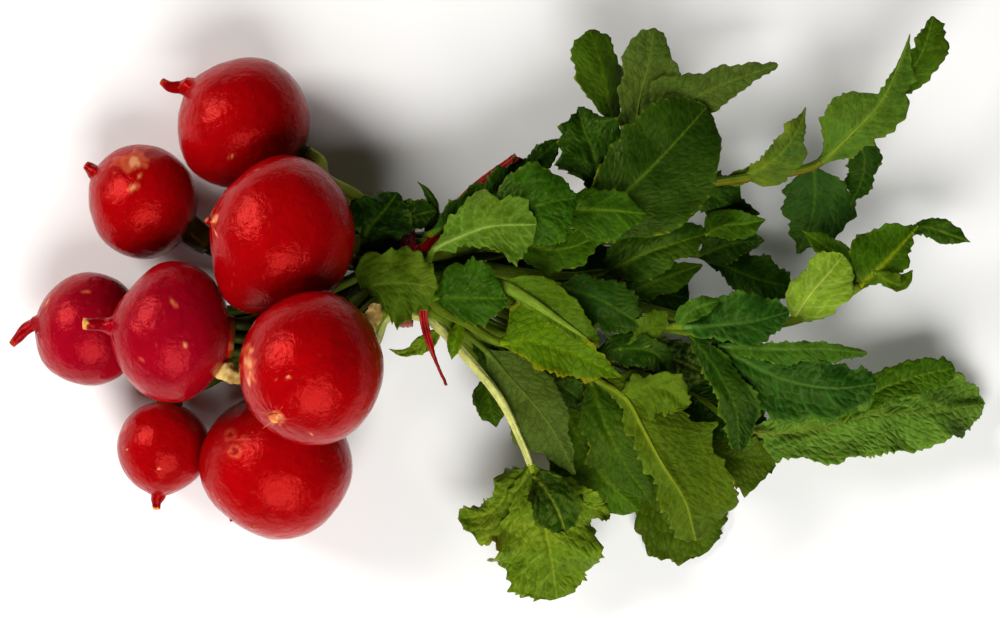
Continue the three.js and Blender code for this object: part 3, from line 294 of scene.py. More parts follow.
def bulb_shell(b):
    """A sphere's profile of rings about the line from crown to tail, each ring's radius
    r sin(angle), drawn out at the tail by pull exp(-((pi - angle) / 0.6)^2) and led on along the
    tail's points. Low random lumps, and ridges that run to the tail, shape its skin by fractions
    of a millimetre. Returns the rings and their colours."""
    c, r, sq = np.array(b["c"], float), b["r"], np.array(b.get("sq", [1, 1, 1]))
    F = -unit(b["crown"])
    E1 = unit(np.cross([0, 0, 1], F))
    E2 = np.cross(F, E1)
    turn = np.linspace(0, 2 * np.pi, AROUND + 1)[:-1][None, :, None]
    spoke = E1 * np.cos(turn) + E2 * np.sin(turn)
    first, last = np.arcsin(b["neck"] / r), np.pi - np.arcsin(b["tr"][0] / r)
    angle = first + (last - first) * np.linspace(0, 1, RINGS)[:, None, None]
    pull = b["pull"] * np.exp(-((np.pi - angle) / 0.6) ** 2)
    body = F * -np.cos(angle) * r + spoke * np.sin(angle) * r + F * pull
    collar = b.get("collar", 2.2)
    bases = np.linspace(1, 0.05, 8)[:, None, None]
    sheath = b["neck"] * (0.97 - 0.2 * bases * (collar > 5) + 0.05 * np.cos(5 * turn) * bases)
    neck = F * (-np.sqrt(r ** 2 - b["neck"] ** 2) - collar * bases) + spoke * sheath
    body = np.concatenate([neck, body])
    out = unit(body)
    height = 0.5 * lumps(body, 15, r) + 0.14 * lumps(body, 5, r) + 0.07 * lumps(body, 1.8, r)
    for *way, rise, spread in b["dents"]:
        height = height + rise * np.exp((out @ unit(way) - 1) / spread)
    lie = np.arctan2(body @ E2, body @ E1)
    near_tail = np.exp(-(((body @ F) / r - 1.02) / 0.1) ** 2)
    height -= 0.12 * near_tail * np.abs(np.sin(5.5 * lie + 1.6 * lumps(body, 4, r))) ** 0.7
    if b.get("groove"):
        far = np.angle(np.exp(1j * (lie - 3.3)))
        height -= 0.9 * np.exp(-far ** 2 / 0.05)
    for x, y, size in b.get("scars", []):
        far = np.hypot(body[..., 0] + c[0] - x, body[..., 1] + c[1] - y) / size
        rim, pit = np.exp(-((far - 1) / 0.3) ** 2), np.exp(-(far / 0.6) ** 2)
        height += 0.35 * (body[..., 2] > 0) * (rim - 0.8 * pit)
    body = c + (body + out * height[..., None]) * sq
    # the tail leaves the body with its own fine rings
    track = rail(np.vstack([body[-1].mean(axis=0), b["tail"]]))
    span = track[2]
    at = np.linspace(0, 1, 26)[1:] * span[-1]
    mid, T = at_length(track, at)
    wide = np.interp(at, span, b["tr"])
    T = T[:, None, :]
    A = unit(E1 - (T @ E1)[..., None] * T)
    B = np.cross(T, A)
    knob = 1 + 0.06 * lumps(mid, 2.2, 3)[:, None, None] + 0.05 * np.cos(3 * turn + at[:, None, None])
    tail = mid[:, None, :] + (A * np.cos(turn) + B * np.sin(turn)) * wide[:, None, None] * knob
    tip = tail[-1:] * 0.35 + tail[-1:].mean(1, keepdims=True) * 0.65 + T[-1] * wide[-1] * 0.15
    rings = np.concatenate([body, tail, tip])

    base = RED
    if b.get("skin") is PINK:
        top = 0.25 + 1.1 * (rings[..., 2] - c[2]) / r + 0.4 * lumps(rings, 8, 3)
        base = blend(RED, PINK, smooth(top))
    tone = 0.5 + 0.5 * lumps(rings, 11, 4) + 0.12 * lumps(rings, 2.2, 5)
    colour = blend(DARK_RED, base, 0.62 + 0.38 * np.clip(tone, 0, 1))
    along = ((rings - c) @ F) / r
    colour = blend(colour, PALE, 0.12 * smooth((lumps(rings, 0.9, 6) - 0.8) / 0.1))
    near_crown = smooth((-0.84 - along + 0.05 * lumps(rings, 1.5, 7)) / 0.12)
    colour = blend(colour, CROWN, near_crown)
    run = np.zeros(rings.shape[:2])
    run[len(body):-1] = (at / span[-1])[:, None]
    run[-1] = 1
    colour = blend(colour, DARK_RED, 0.5 * smooth((run - 0.1) / 0.3))
    colour = blend(colour, b["end"], smooth((run - 0.82 + 0.08 * lumps(rings, 0.8, 8)) / 0.12))
    above = rings[..., 2] > c[2]
    for x, y, long, broad, turned in b["marks"]:
        a = np.radians(turned)
        dx, dy = rings[..., 0] - x, rings[..., 1] - y
        u = (dx * np.cos(a) + dy * np.sin(a)) / (long / 2)
        v = (dy * np.cos(a) - dx * np.sin(a)) / (broad / 2)
        torn = np.hypot(u, v) + 0.5 * lumps(rings, 2, 9) + 0.3 * lumps(rings, 1.1, 10)
        colour = blend(colour, PALE, 0.8 * above * smooth((1.15 - torn) / 0.35))
        colour = blend(colour, BARE, 0.8 * above * smooth((0.6 - torn) / 0.35))
    for x, y, size in b.get("scars", []):
        far = np.hypot(rings[..., 0] - x, rings[..., 1] - y) / size
        colour = blend(colour, PALE, 0.42 * above * np.exp(-((far - 1) / 0.35) ** 2))
        colour = blend(colour, DARK_RED * 0.6, 0.8 * above * np.exp(-(far / 0.5) ** 2))
    return rings, colour


def hair(points, radius, colour):
    """A root hair: a round thread of that radius in mm that thins to nothing along its points."""
    p = np.array(points, float)
    t = np.linspace(0, len(p) - 1, 8 * len(p))
    p = np.stack([np.interp(t, np.arange(len(p)), p[:, k]) for k in range(3)], -1)
    T = unit(np.gradient(p, axis=0))[:, None, :]
    A = unit(np.cross(T, [0.2, 0.1, 1]))
    B = np.cross(T, A)
    a = np.linspace(0, 2 * np.pi, 9)[:-1][None, :, None]
    wide = radius * (1 - 0.8 * t / t[-1])[:, None, None]
    return p[:, None, :] + (A * np.cos(a) + B * np.sin(a)) * wide, colour, (0.0, 0.0)


def on_bulb(b, xy, lift=0.15):
    """Points over a bulb's upper side: the height of its ellipsoid at x and y, plus lift."""
    c, sq = np.array(b["c"]), np.array(b.get("sq", [1, 1, 1]))
    p = np.array(xy, float)
    d = ((p - c[:2]) / (sq[:2] * b["r"])) ** 2
    return np.c_[p, c[2] + sq[2] * b["r"] * np.sqrt(np.clip(1 - d.sum(1), 0.02, 1)) + lift]


red_skin = waxy_skin("waxy radish skin, red", 0.13)
pink_skin = waxy_skin("waxy radish skin, pink", 0.16)
# Fine root hairs that lie on two of the bulbs, by x and y.
HAIRS = {
    3: [[[-85.2, 24.4], [-84.4, 21], [-82.2, 16], [-80.2, 11.6]],
        [[-85.6, 27.6], [-84.4, 30], [-82.4, 32.6]]],
    6: [[[-65.4, -31], [-69, -30.2], [-73.4, -29.4]], [[-65.4, -32.4], [-67.6, -34], [-69.4, -35.2]],
        [[-64.6, -30.6], [-63, -28.6], [-62.8, -26.8]]],
}
for number, b in BULBS.items():
    rings, colour = bulb_shell(b)
    shells = [(rings, colour, (0.0, 0.0))]
    for line in HAIRS.get(number, []):
        shells.append(hair(on_bulb(b, line), 0.3, PALE))
    look = (pink_skin, "radish_pink") if "skin" in b else (red_skin, "radish_red")
    make_piece(f"radish_{number}", shells, *look, f"radish_{number}_bulb")


# ---------------------------------------------------------------- dried leaf stubs
# Where an old leaf withered and was pulled off, a short stub of its stalk stays on the crown. It has
# dried to a cream, papery, ridged husk and still grows from the bulb.
def square_to(T):
    """The two directions square to T: N, the most upward one, and L, to its left."""
    N = unit(np.array([0.0, 0.0, 1.0]) - T[..., 2:3] * T)
    return N, np.cross(N, T)


def stem(track, s, radius, sides=14, channel=0.1, ribs=0.035, drop=0.0):
    """A stalk: a ring of that radius about the rail at each length, flattened along its upper side
    by a shallow channel, with fine ribs that run its whole length."""
    P, T = at_length(track, s)
    N, L = square_to(T)
    a = (np.arange(sides) + 0.5) / sides * 2 * np.pi
    r = radius[:, None] * (1 - channel * np.exp(-((a - np.pi / 2) / 0.5) ** 2) + ribs * np.cos(5 * a))
    P = P - N * np.reshape(drop, (-1, 1))
    return P[:, None] + L[:, None] * (r * np.cos(a))[..., None] + N[:, None] * (r * np.sin(a))[..., None]


def dry_husk():
    """Dried stalk: papery plant fibre with no wax left, so matt, with a crumbly grain about 0.7 mm
    across."""
    material, tree, surface, place = new_material("dried leaf base, papery")
    grain = add_node(tree, "ShaderNodeTexNoise", Vector=place, Scale=1400.0, Detail=4.0, Roughness=0.7)
    level = add_node(tree, "ShaderNodeMapRange", Value=grain.outputs["Fac"], From_Min=0.3, From_Max=0.7,
                     To_Min=0.75, To_Max=1.15)
    paint(tree, surface, level.outputs["Result"])
    bump = add_node(tree, "ShaderNodeBump", Height=grain.outputs["Fac"], Strength=0.5, Distance=0.0004)
    tree.links.new(bump.outputs["Normal"], surface.inputs["Normal"])
    surface.inputs["Roughness"].default_value = 0.62
    return material


husk = dry_husk()
STUBS = {
    "radish_5_stub": [[-84, -17, 35.5], [-80, -19.8, 36.5], [-77, -20.4, 36], [-75.4, -19, 35]],
    "radish_6_stub": [[-43.6, -10.6, 56], [-40, -7, 54], [-37.2, -3, 51.6], [-36.4, 0.8, 49]],
}
for name, points in STUBS.items():
    track = rail(points)
    s = np.linspace(0, track[1][-1], 46)
    wide = np.interp(s / s[-1], np.linspace(0, 1, 6), [1.8, 3.1, 2.9, 2.3, 2.4, 1.6])
    rings = stem(track, s, wide, sides=28, channel=0.2, ribs=0.08)
    axis = rings.mean(1, keepdims=True)
    shrunk = 1 + 0.22 * lumps(rings, 2.2, 11) + 0.12 * lumps(rings, 0.8, 12)
    rings = axis + (rings - axis) * shrunk[..., None]
    dry = blend(linear("#e2c266"), linear("#a3782a"), smooth(0.5 + 0.7 * lumps(rings, 2.4, 13)))
    dry = blend(dry, linear("#f0dc92"), 0.5 * smooth(lumps(rings, 1.1, 14)))
    make_piece(name + "_husk", [(rings, dry, (0.0, 0.0))], husk, "dried_leaf_base", name)


# ---------------------------------------------------------------- leaves: how they are made
# A radish leaf is one piece from the crown: a fleshy ribbed stalk that runs on as the blade's midrib,
# and a thin blade, often with smaller leaflets lower down. The blade is quilted between its veins and
# toothed along its edge, each tooth ending in a tiny pale point. Its wax makes a patchy satin shine.
STALK = 1.72    # mm, a stalk's radius at the crown
STEP = 0.62     # mm between the points of a blade
THIN = 0.36     # mm, thickness of a blade
VEIN = 0.22     # mm that a blade's veins stand out on its back
LEAN = 0.62     # how far side veins run forward for each mm outward
TIE = np.array([-28, 9.5, 24])      # mm, the middle of the stalks where the tie holds them
# How each radish's stalks run from its crown to the tie, and where their middle passes in the tie.
# base is the colour of the stalks at the crown. A dark one, as for radishes 4 and 5 and the default,
# is painted shade for stalks that lie deep in the bunch.
BUNDLES = {
    1: dict(base="#8c9a3c", mid=(9, -1.75), run=[[-55, 38, 15.5], [-44, 31, 17], [-38, 23.5, 20]]),
    2: dict(mid=(4, -7), run=[[-80, 17, 11], [-62, 16.5, 10], [-44, 15, 12.5]]),
    3: dict(mid=(7, 5.25), run=[[-38.5, 16.6, 31.5]]),
    4: dict(base="#262c0a", mid=(-2, -7),
            run=[[-100, -4, 11.5], [-80, -2.5, 9.5], [-60, 2, 9.5], [-44, 6, 13]]),
    5: dict(base="#262c0a", mid=(0, 0), run=[[-74, -8.5, 30.5], [-60, -3.5, 26], [-45, 4, 24]]),
    6: dict(mid=(-2, 7), run=[[-39.6, 2.2, 42], [-36.6, 5.4, 36]]),
    7: dict(mid=(-7, -5.25), run=[[-92, -23, 9.5], [-78, -15.5, 8.5], [-60, -8, 9], [-44, -1.5, 13]]),
    8: dict(mid=(-10, 1.75), run=[[-45.5, -21.5, 18], [-39, -9, 20.5]]),
}


def stalk_points(plant, slot):
    """A stalk's points from the crown to the tie: its bundle's, each moved square to the run by
    the stalk's own offset in the tie."""
    b, bundle = BULBS[plant], BUNDLES[plant]
    D = unit(b["crown"])
    sq = np.array(b.get("sq", [1, 1, 1]))
    root = np.array(b["c"]) + D * sq * (np.sqrt(b["r"] ** 2 - b["neck"] ** 2) + 1.4)
    mid = TIE + [0, *bundle["mid"]]
    line = np.vstack([root + D * 0.1, root + D * 4, bundle["run"], mid - [5.5, 0, 0], mid + [5.5, 0, 0]])
    track = rail(line, 16)
    T = at_length(track, track[2])[1]
    T[0], T[-2:] = D, [1, 0, 0]
    H = unit(np.stack([-T[:, 1], T[:, 0], 0 * T[:, 0]], -1))
    off = np.array(slot) - bundle["mid"]
    return line + H * off[0] + np.cross(T, H) * off[1]


def along(values, t):
    """A value that runs smoothly through equally spaced numbers, by a uniform cubic. A single number
    stays as it is."""
    if np.ndim(values) == 0:
        return np.full(np.shape(t), float(values))
    v = np.asarray(values, float)
    v = np.r_[2 * v[0] - v[1], v, 2 * v[-1] - v[-2]]
    n = len(v) - 3
    u = np.clip(t, 0, 1) * n
    i = np.minimum(n - 1, np.floor(u)).astype(int)
    f = u - i
    a, b, c, d = v[i], v[i + 1], v[i + 2], v[i + 3]
    return b + 0.5 * f * (c - a + f * (2 * a - 5 * b + 4 * c - d + f * (3 * (b - c) + d - a)))


def cells(x, y, size, seed):
    """Distance in mm from the border between jittered cells of that size: the second nearest
    cell's distance less the nearest's. The borders are the net of small veins."""
    gx, gy = x / size, y / size
    ix, iy = np.floor(gx), np.floor(gy)
    one, two = np.full(x.shape, 9.0), np.full(x.shape, 9.0)
    for dx, dy in np.ndindex(3, 3):
        cx, cy = ix + dx - 1, iy + dy - 1
        h = np.sin(cx * 127.1 + cy * 311.7 + seed * 17.3) * 43758.5453
        jx, jy = h % 1, (h * 7.7) % 1
        far = np.hypot(cx + 0.5 + 0.75 * (jx - 0.5) - gx, cy + 0.5 + 0.75 * (jy - 0.5) - gy)
        two = np.minimum(two, np.maximum(one, far))
        one = np.minimum(one, far)
    return (two - one) * size


def teeth(s, length, pitch, depth, draw):
    """How far the edge stands out at length s: unequal teeth about one pitch apart that rise slowly
    and drop sharply towards the tip. Returns that, and how far up its tooth each point is."""
    count = int(length / pitch) + 3
    ends = np.cumsum(pitch * draw.uniform(0.6, 1.4, count)) - pitch
    tall = depth * draw.uniform(0.35, 1.25, count)
    k = np.clip(np.searchsorted(ends, s) - 1, 0, count - 2)
    f = np.clip((s - ends[k]) / (ends[k + 1] - ends[k]), 0, 1)
    rise = np.where(f < 0.78, (f / 0.78) ** 1.3, ((1 - f) / 0.22) ** 0.8)
    return tall[k] * (rise - 0.35), rise


def blade(track, d0, B, look, draw):
    """A blade from length d0 of its rail to the end. Across it, each half leaves the rib at its
    fold and curls by its cup. Its half width follows wl or wr, is cut in and out in straight
    slants of 2.5 to 7.5 mm, rounds off at the tip, or runs out to a point where it ends narrow,
    and carries the teeth. Side veins leave the rib every few mm and lean forward, a net fills the
    space between, and the blade is quilted between them. Returns rings that pass over the upper
    face from left to right and back underneath, with their colours and places for the grain."""
    B = {**look, **B}
    L = track[1][-1] - d0
    wl, wr = B["wl"], B["wr"]
    rows = max(10, int(L * 1.12 / STEP))
    t = 1 - (1 - np.linspace(0, 1, rows)) ** 1.2
    left, right = max(4, int(max(wl) / STEP)), max(4, int(max(wr) / STEP))
    v = np.r_[np.linspace(1, 0, left + 1)[:-1], np.linspace(0, -1, right + 1)]
    t, v = t[:, None], v[None, :]
    t = t + 0.22 * v ** 2 * np.where(v > 0, along(wl, t), along(wr, t)) / L * 4 * t * (1 - t)
    s, side = t * L, np.sign(v) + (v == 0)
    half = np.maximum(np.where(v > 0, along(wl, t), along(wr, t)), 0.5)
    wide = np.where(v > 0, max(wl), max(wr))
    r1 = B.get("r1", 1.0)
    k = smooth((t + 0.02) / 0.16)
    half = half * k + r1 * (1 - t) * (1 - k)
    cap = np.minimum(0.45, 0.8 * np.where(v > 0, wl[-1], wr[-1]) / L) + 0.012
    turn_in = np.clip((t - 1 + cap) / cap, 0, 1)
    round_off = np.sqrt(np.clip(1 - turn_in ** 2, 0.0004, 1))
    seed = draw.uniform(0, 50)
    corners = np.cumsum(draw.uniform(2.5, 7.5, (2, int(L / 3) + 4)), axis=1) - 6
    height = draw.uniform(-1.2, 1, corners.shape)
    cuts = [np.interp(s + 0 * v, c, h) for c, h in zip(corners, height)]
    half = half * (1 + B["lobes"] * np.where(v > 0, *cuts))
    blunt = np.where(v > 0, wl[-1], wr[-1])
    half = half * (1 - np.clip(1.1 - blunt / 2, 0, 0.75) * smooth((t - 0.78) / 0.22))
    fade = smooth((t - 0.04) / 0.1) * smooth(half / 2.5)
    half = half * round_off
    small_leaf = min(1, max(max(wl), max(wr)) / 8)
    pitch, depth = B["tooth"][0] * small_leaf ** 0.5, B["tooth"][1] * small_leaf
    arc = s + 0.9 * wide * (1 - round_off)
    cut, tooth_tip = [], []
    for _ in range(2):
        small, tip = teeth(arc, L + wide.max(), pitch * 0.62, depth * 0.75, draw)
        large, _ = teeth(arc, L + wide.max(), pitch * 1.9, depth * 1.1, draw)
        cut.append(small + large)
        tooth_tip.append(tip)
    cut, tooth_tip = np.where(v > 0, *cut), np.where(v > 0, *tooth_tip)
    d = np.maximum(half * np.abs(v) + cut * np.abs(v) ** 5 * fade * round_off, 0)
    s = s + (cut - 0.6 * depth) * np.abs(v) ** 5 * fade * turn_in * (1 - turn_in ** 8)
    under = B.get("under", False)

    # veins and quilting, measured along the rib and out from it
    drift = 0.9 * np.sin(s / 5.3 + seed) + 0.7 * np.sin(d / 2.9 + s / 8.1 + seed)
    gap = B["veins"]
    q = (s - d * LEAN - 0.018 * d * d + drift + seed) / gap + 0.5 * (side > 0)
    f = np.abs(q - np.floor(q) - 0.5) * gap * 0.85
    main = np.exp(-(f / (0.42 - 0.16 * np.abs(v))) ** 2) * smooth((d - 0.2) / 1)
    q2 = 2 * q + 0.5
    f2 = np.abs(q2 - np.floor(q2) - 0.5) * gap * 0.42
    fork = np.exp(-(f2 / 0.32) ** 2) * smooth((d / np.maximum(half, 1) - 0.45) / 0.25)
    size = B["net"]
    border = cells(s - d * LEAN + drift, d * 1.1 + 0.8 * drift, size, seed)
    net = np.exp(-(border / (0.14 * size)) ** 2)
    vein = np.maximum(np.maximum(main, 0.85 * fork), 0.75 * net)
    pillow = 1 - np.exp(-(border / (0.3 * size)) ** 1.4)
    big = np.cos(np.pi * (q - np.floor(q) - 0.5)) ** 2
    crinkle = B["crinkle"]
    quilt = crinkle * (0.6 * pillow * (1 - 0.5 * main) + 0.45 * big) * smooth(d / 2.5)
    quilt = quilt * (1 - 0.35 * np.abs(v) ** 4) * smooth((1.02 - t) / 0.1)
    ruffle = B["ruffle"] * np.abs(v) ** 3 * np.sin(s / (pitch * 0.62) + 1.3 * side + seed)
    ruffle = ruffle * smooth((wide - 2) / 4) * fade

    fold = np.radians(np.where(v > 0, along(B.get("fl", 0), t), along(B.get("fr", 0), t)))
    cup = B.get("cup", 0) or 1e-5
    bend = fold + cup * d
    x = (np.sin(bend) - np.sin(fold)) / cup
    y = (np.cos(fold) - np.cos(bend)) / cup
    turns = 2 * np.pi * B.get("n", 2) * t + np.where(v > 0, 0, 2.2)
    y = y + B.get("wave", 1) * (d / wide) ** 2 * np.sin(turns) + ruffle
    y = y + (-quilt if under else quilt)
    swell = np.stack([s + 0 * v, d * side, seed + 0 * s + 0 * v], -1)
    y = y + B["swell"] * (lumps(swell, 11, 5) + 0.4 * lumps(swell, 5.5, 6)) * smooth(d / 3)
    P, T = at_length(track, d0 + s)
    N, Lx = square_to(T)
    nx, ny = -np.sin(bend) * side, np.cos(bend)
    edge = 1 - 0.45 * np.abs(v) ** 12
    raised = VEIN * vein * k
    top = THIN / 2 * edge + (raised * (0.4 + 0.6 * (main > net)) if under else -0.05 * vein)
    low = -THIN / 2 * edge - (0 if under else raised)
    faces = [P + Lx * (x * side + nx * h)[..., None] + N * (y + ny * h)[..., None] for h in (top, low)]
    rings = np.concatenate([faces[0], faces[1][:, ::-1]], axis=1)

    # colour: patches, veins, rib, edge, tooth points
    spot = np.stack([s + 0 * v, d * side, 0 * s + seed + 0 * v], -1)
    tone = 0.5 + 0.55 * lumps(spot, 9, 1) + 0.25 * lumps(spot, 2.6, 2)
    sunned = 1.1 * lumps(spot, 12, 4) + 0.3 * lumps(spot, 4, 7)
    colour = blend(linear(B["face"]), linear(B["shade"]), B["mottle"] * smooth(tone))
    colour = blend(colour, linear(B["warm"]), B["mottle"] * smooth(sunned))
    colour = blend(colour, linear(B["vein"]), B["show"] * vein * smooth(d / 1.5))
    colour = blend(colour, linear(B["edge"]),
                   B["rim"] * smooth((d / np.maximum(half, 0.6) - 0.8) / 0.2) * smooth(half / 3))
    point = smooth((tooth_tip - 0.75) / 0.2) * smooth((np.abs(v) - 0.93) / 0.05) * fade
    colour = blend(colour, linear(B["points"]), 0.45 * point)
    worn = smooth((lumps(spot, 5, 3) + 1.1 * np.abs(v) ** 3 - B["scorch_from"]) / 0.3)
    colour = blend(colour, linear(B["scorch"]), 0.7 * worn)
    rib_wide = (0.75 if under else 0.55) * (1.25 - t) * r1
    rib = np.exp(-(d / rib_wide) ** 2)
    rib_colour = linear(B["rib"])
    colour = blend(colour, rib_colour, (0.85 if under else 0.5) * rib)
    back = blend(linear(B["back"]), linear(B["vein"]), 0.35 * vein)
    back = blend(back, rib_colour, 0.6 * rib)
    colours = np.concatenate([colour, back[:, ::-1]], axis=1)
    grain = np.stack([s - d * LEAN + seed + 0 * v, d * side], -1)
    grain = np.concatenate([grain, grain[:, ::-1]], axis=1)
    return rings, colours, grain


def fibres(rings):
    """Places on a stalk, squeezed to a twelfth along it, so that a pattern there runs as fibres."""
    n, m = rings.shape[:2]
    row, column = np.meshgrid(np.arange(n), np.arange(m), indexing="ij")
    return np.stack([row * 0.08, np.minimum(column, m - column) * 0.9], -1)


def midrib(track, d0, B, look, r1):
    """The rib under a blade, sunk by about its own radius, or raised by a third of it where the
    blade's back is up: the stalk carried on and thinned to a thread at the tip."""
    B = {**look, **B}
    L = track[1][-1] - d0
    s = d0 + np.linspace(0, 0.985, max(12, int(L / 1.1))) * L
    t = (s - d0) / L
    stout = B.get("stout", 0.6)
    radius = r1 * (stout + (1 - stout) * np.exp(-t / 0.07)) * (1 - t) ** 0.9 * 0.92 + 0.14
    drop = radius * (-0.35 if B.get("under") else 1.05) * smooth(t / 0.14)
    rings = stem(track, s, radius, sides=10, drop=drop)
    colour = linear(B["rib"]) * (0.95 + 0.12 * lumps(rings, 3, 20))[..., None]
    return rings, colour, fibres(rings)


def grow_leaf(name, slot, look, way, pts, wl, wr, side=(), stalk="#566a14", stripe=None, **B):
    """A whole leaf: its stalk from the crown of the radish that its name gives, through its slot in
    the tie and along way, its blade, its midrib and the leaflets at its side, each of which starts
    from the nearest point of the stalk or rib. pts are the points of the blade's rib, and wl and wr
    its half widths to the left and right, all in mm. fl and fr fold its halves by some degrees, cup
    curls them and wave is the height in mm of its n waves. under turns its back up, r1 is the
    stalk's radius at the blade, and stripe is the colour of a line along the stalk. The leaf's
    random draws are seeded by its name."""
    draw = np.random.default_rng(sum(map(ord, name)))
    plant = int(name[len("leaf_")])
    stalk_line = stalk_points(plant, slot)
    track = rail(np.vstack([stalk_line, np.array(way, float).reshape(-1, 3), pts]))
    d0, tie_out = track[2][len(stalk_line) + len(way)], track[2][len(stalk_line) - 1]
    r1 = B.setdefault("r1", 1.15)
    s = np.linspace(0, d0 + 0.5, int(d0 / 0.95))
    radius = STALK + (r1 - STALK) * smooth((s - tie_out) / max(1, d0 - tie_out))
    rings = stem(track, s, radius * (1 + 0.02 * np.sin(s / 3)))
    # The stalk runs from base at the crown to its own colour; a dark base is painted shade where the
    # stalks go into the bunch.
    base = BUNDLES[plant].get("base", "#3a4410")
    run = smooth((s / d0 - 0.1) / 0.45)[:, None] + 0 * rings[..., 0]
    streaks = 1 + 0.16 * lumps(rings, 3.5, 21) + 0.1 * lumps(rings * [0.2, 1, 1], 0.9, 22)
    green = blend(linear(base), linear(stalk), run) * streaks[..., None]
    if stripe:
        line = np.exp(-((np.arange(rings.shape[1]) - 5.6) / 1.5) ** 2)[None, :]
        line = line * smooth((s - 60) / 20)[:, None]
        green = blend(green, linear(stripe), 0.8 * line)
    shells = [(rings, green, fibres(rings))]
    B.update(wl=wl, wr=wr)
    shells.append(blade(track, d0, B, look, draw))
    shells.append(midrib(track, d0, B, look, r1))
    for C in side:
        C = {"r1": 0.95, **C}
        start = np.linalg.norm(track[0] - C["pts"][0], axis=1).argmin()
        rib_line = rail([track[0][start], *C["pts"][1:]])
        own = C.get("look", look)
        shells.append(blade(rib_line, 0.0, C, own, draw))
        shells.append(midrib(rib_line, 0.0, C, own, C["r1"] * 0.8))
    make_piece(name + "_leaf", shells, look["skin"], look["slot"], name)


def leaf_skin(name, roughness, relief, line):
    """Living leaf: waxed cells with pigment under them, so a satin shine in patches about 2.4 mm
    across. Its finer veins, 2.4 and 0.9 mm apart, are lines in the leaf's own frame, lighter or
    darker than the blade (line is their brightness), and the blade stands up between them by its
    relief. Larger veins are in the mesh."""
    material, tree, surface, place = new_material(name)
    own = add_node(tree, "ShaderNodeAttribute", dict(attribute_name="grain")).outputs["Vector"]
    patch = add_node(tree, "ShaderNodeTexNoise", Vector=place, Scale=420.0, Detail=5.0, Roughness=0.6)
    bend = add_node(tree, "ShaderNodeTexNoise", Vector=place, Scale=700.0, Detail=1.0)
    wander = add_node(tree, "ShaderNodeVectorMath", dict(operation="MULTIPLY_ADD"),
                      Vector=bend.outputs["Color"])
    wander.inputs[1].default_value = (0.9, 0.9, 0)
    tree.links.new(own, wander.inputs[2])
    net = dict(feature="DISTANCE_TO_EDGE", voronoi_dimensions="2D")
    veins = add_node(tree, "ShaderNodeTexVoronoi", net, Vector=wander.outputs["Vector"], Scale=0.42)
    hairs = add_node(tree, "ShaderNodeTexVoronoi", net, Vector=wander.outputs["Vector"], Scale=1.15)
    level = add_node(tree, "ShaderNodeMapRange", Value=patch.outputs["Fac"], From_Min=0.3, From_Max=0.7,
                     To_Min=0.8, To_Max=1.15)
    lines = add_node(tree, "ShaderNodeMapRange", Value=veins.outputs["Distance"], From_Min=0.02,
                     From_Max=0.1, To_Min=line, To_Max=1.0)
    faint = add_node(tree, "ShaderNodeMapRange", Value=hairs.outputs["Distance"], From_Min=0.0,
                     From_Max=0.12, To_Min=0.5 + 0.5 * line, To_Max=1.0)
    both = add_node(tree, "ShaderNodeMath", dict(operation="MULTIPLY"))
    tree.links.new(lines.outputs["Result"], both.inputs[0])
    tree.links.new(faint.outputs["Result"], both.inputs[1])
    shade = add_node(tree, "ShaderNodeMath", dict(operation="MULTIPLY"))
    tree.links.new(level.outputs["Result"], shade.inputs[0])
    tree.links.new(both.outputs["Value"], shade.inputs[1])
    paint(tree, surface, shade.outputs["Value"])
    rough = add_node(tree, "ShaderNodeMapRange", Value=patch.outputs["Fac"], From_Min=0.35, From_Max=0.65,
                     To_Min=roughness - 0.08, To_Max=roughness + 0.12)
    tree.links.new(rough.outputs["Result"], surface.inputs["Roughness"])
    pillow = add_node(tree, "ShaderNodeMapRange", Value=veins.outputs["Distance"], From_Min=0.0,
                      From_Max=0.35)
    quilted = add_node(tree, "ShaderNodeBump", Height=pillow.outputs["Result"],
                       Strength=0.7 * relief, Distance=0.0004)
    uneven = add_node(tree, "ShaderNodeBump", Height=patch.outputs["Fac"], Strength=0.35 * relief,
                      Distance=0.0005, Normal=quilted.outputs["Normal"])
    tree.links.new(uneven.outputs["Normal"], surface.inputs["Normal"])
    surface.inputs["IOR"].default_value = 1.42
    surface.inputs["Specular IOR Level"].default_value = 0.15
    surface.inputs["Specular Tint"].default_value = (*linear("#c8d870"), 1)
    return material


# Faces have the most wax, so they shine in patches. Undersides have less and look duller. A yellowed
# blade pales before its veins do, so its veins are dark, and a crumpled one stands up between them.
satin = leaf_skin("radish leaf, satin", 0.4, 0.5, 1.1)
shiny = leaf_skin("radish leaf, waxed", 0.34, 0.6, 1.05)
yellowed = leaf_skin("radish leaf, dark veined", 0.42, 0.5, 0.7)
curled = leaf_skin("radish leaf, crumpled", 0.36, 1.1, 1.12)
dull = leaf_skin("radish leaf underside, matt", 0.48, 0.5, 1.15)
grey = leaf_skin("radish leaf underside, dark veined", 0.56, 0.4, 0.7)
NIGHT, FOREST, GRASS, MOSS, YOUNG = "#0f2204", "#1c3606", "#2d4a06", "#42580a", "#546e0e"
# The sorts of leaf in the bunch. In mm: crinkle the height of its quilting, swell that of its broad
# bumps, ruffle that of its edge, net the width of its vein cells, veins the gap between side veins,
# tooth the pitch and depth of its teeth. lobes is how deep its outline is cut, as a share of its
# width, stout the thickness of its rib as a share of the stalk's. face and back are its two sides,
# shade and warm the patches on its face and mottle how plain they are, show how plain its veins are
# and rim its edge, points the tips of its teeth, scorch its dry spots, which start where the noise
# passes scorch_from.
PLAIN = dict(veins=8.5, swell=1.5, ruffle=0.6, lobes=0.17, rim=0.15, shade="#0a1a02", warm="#42520a",
    mottle=0.36, points="#8c8a28", scorch="#7c7a1a", scorch_from=1.75)
SMOOTH = dict(PLAIN, warm="#2f4608", face="#253c05", back="#44600f", vein="#3c5c0a", rib="#547014",
    edge="#406008", crinkle=0.12, net=4.2, tooth=(5.0, 0.6), show=0.3, lobes=0.06, skin=satin,
    slot="leaf_dark")
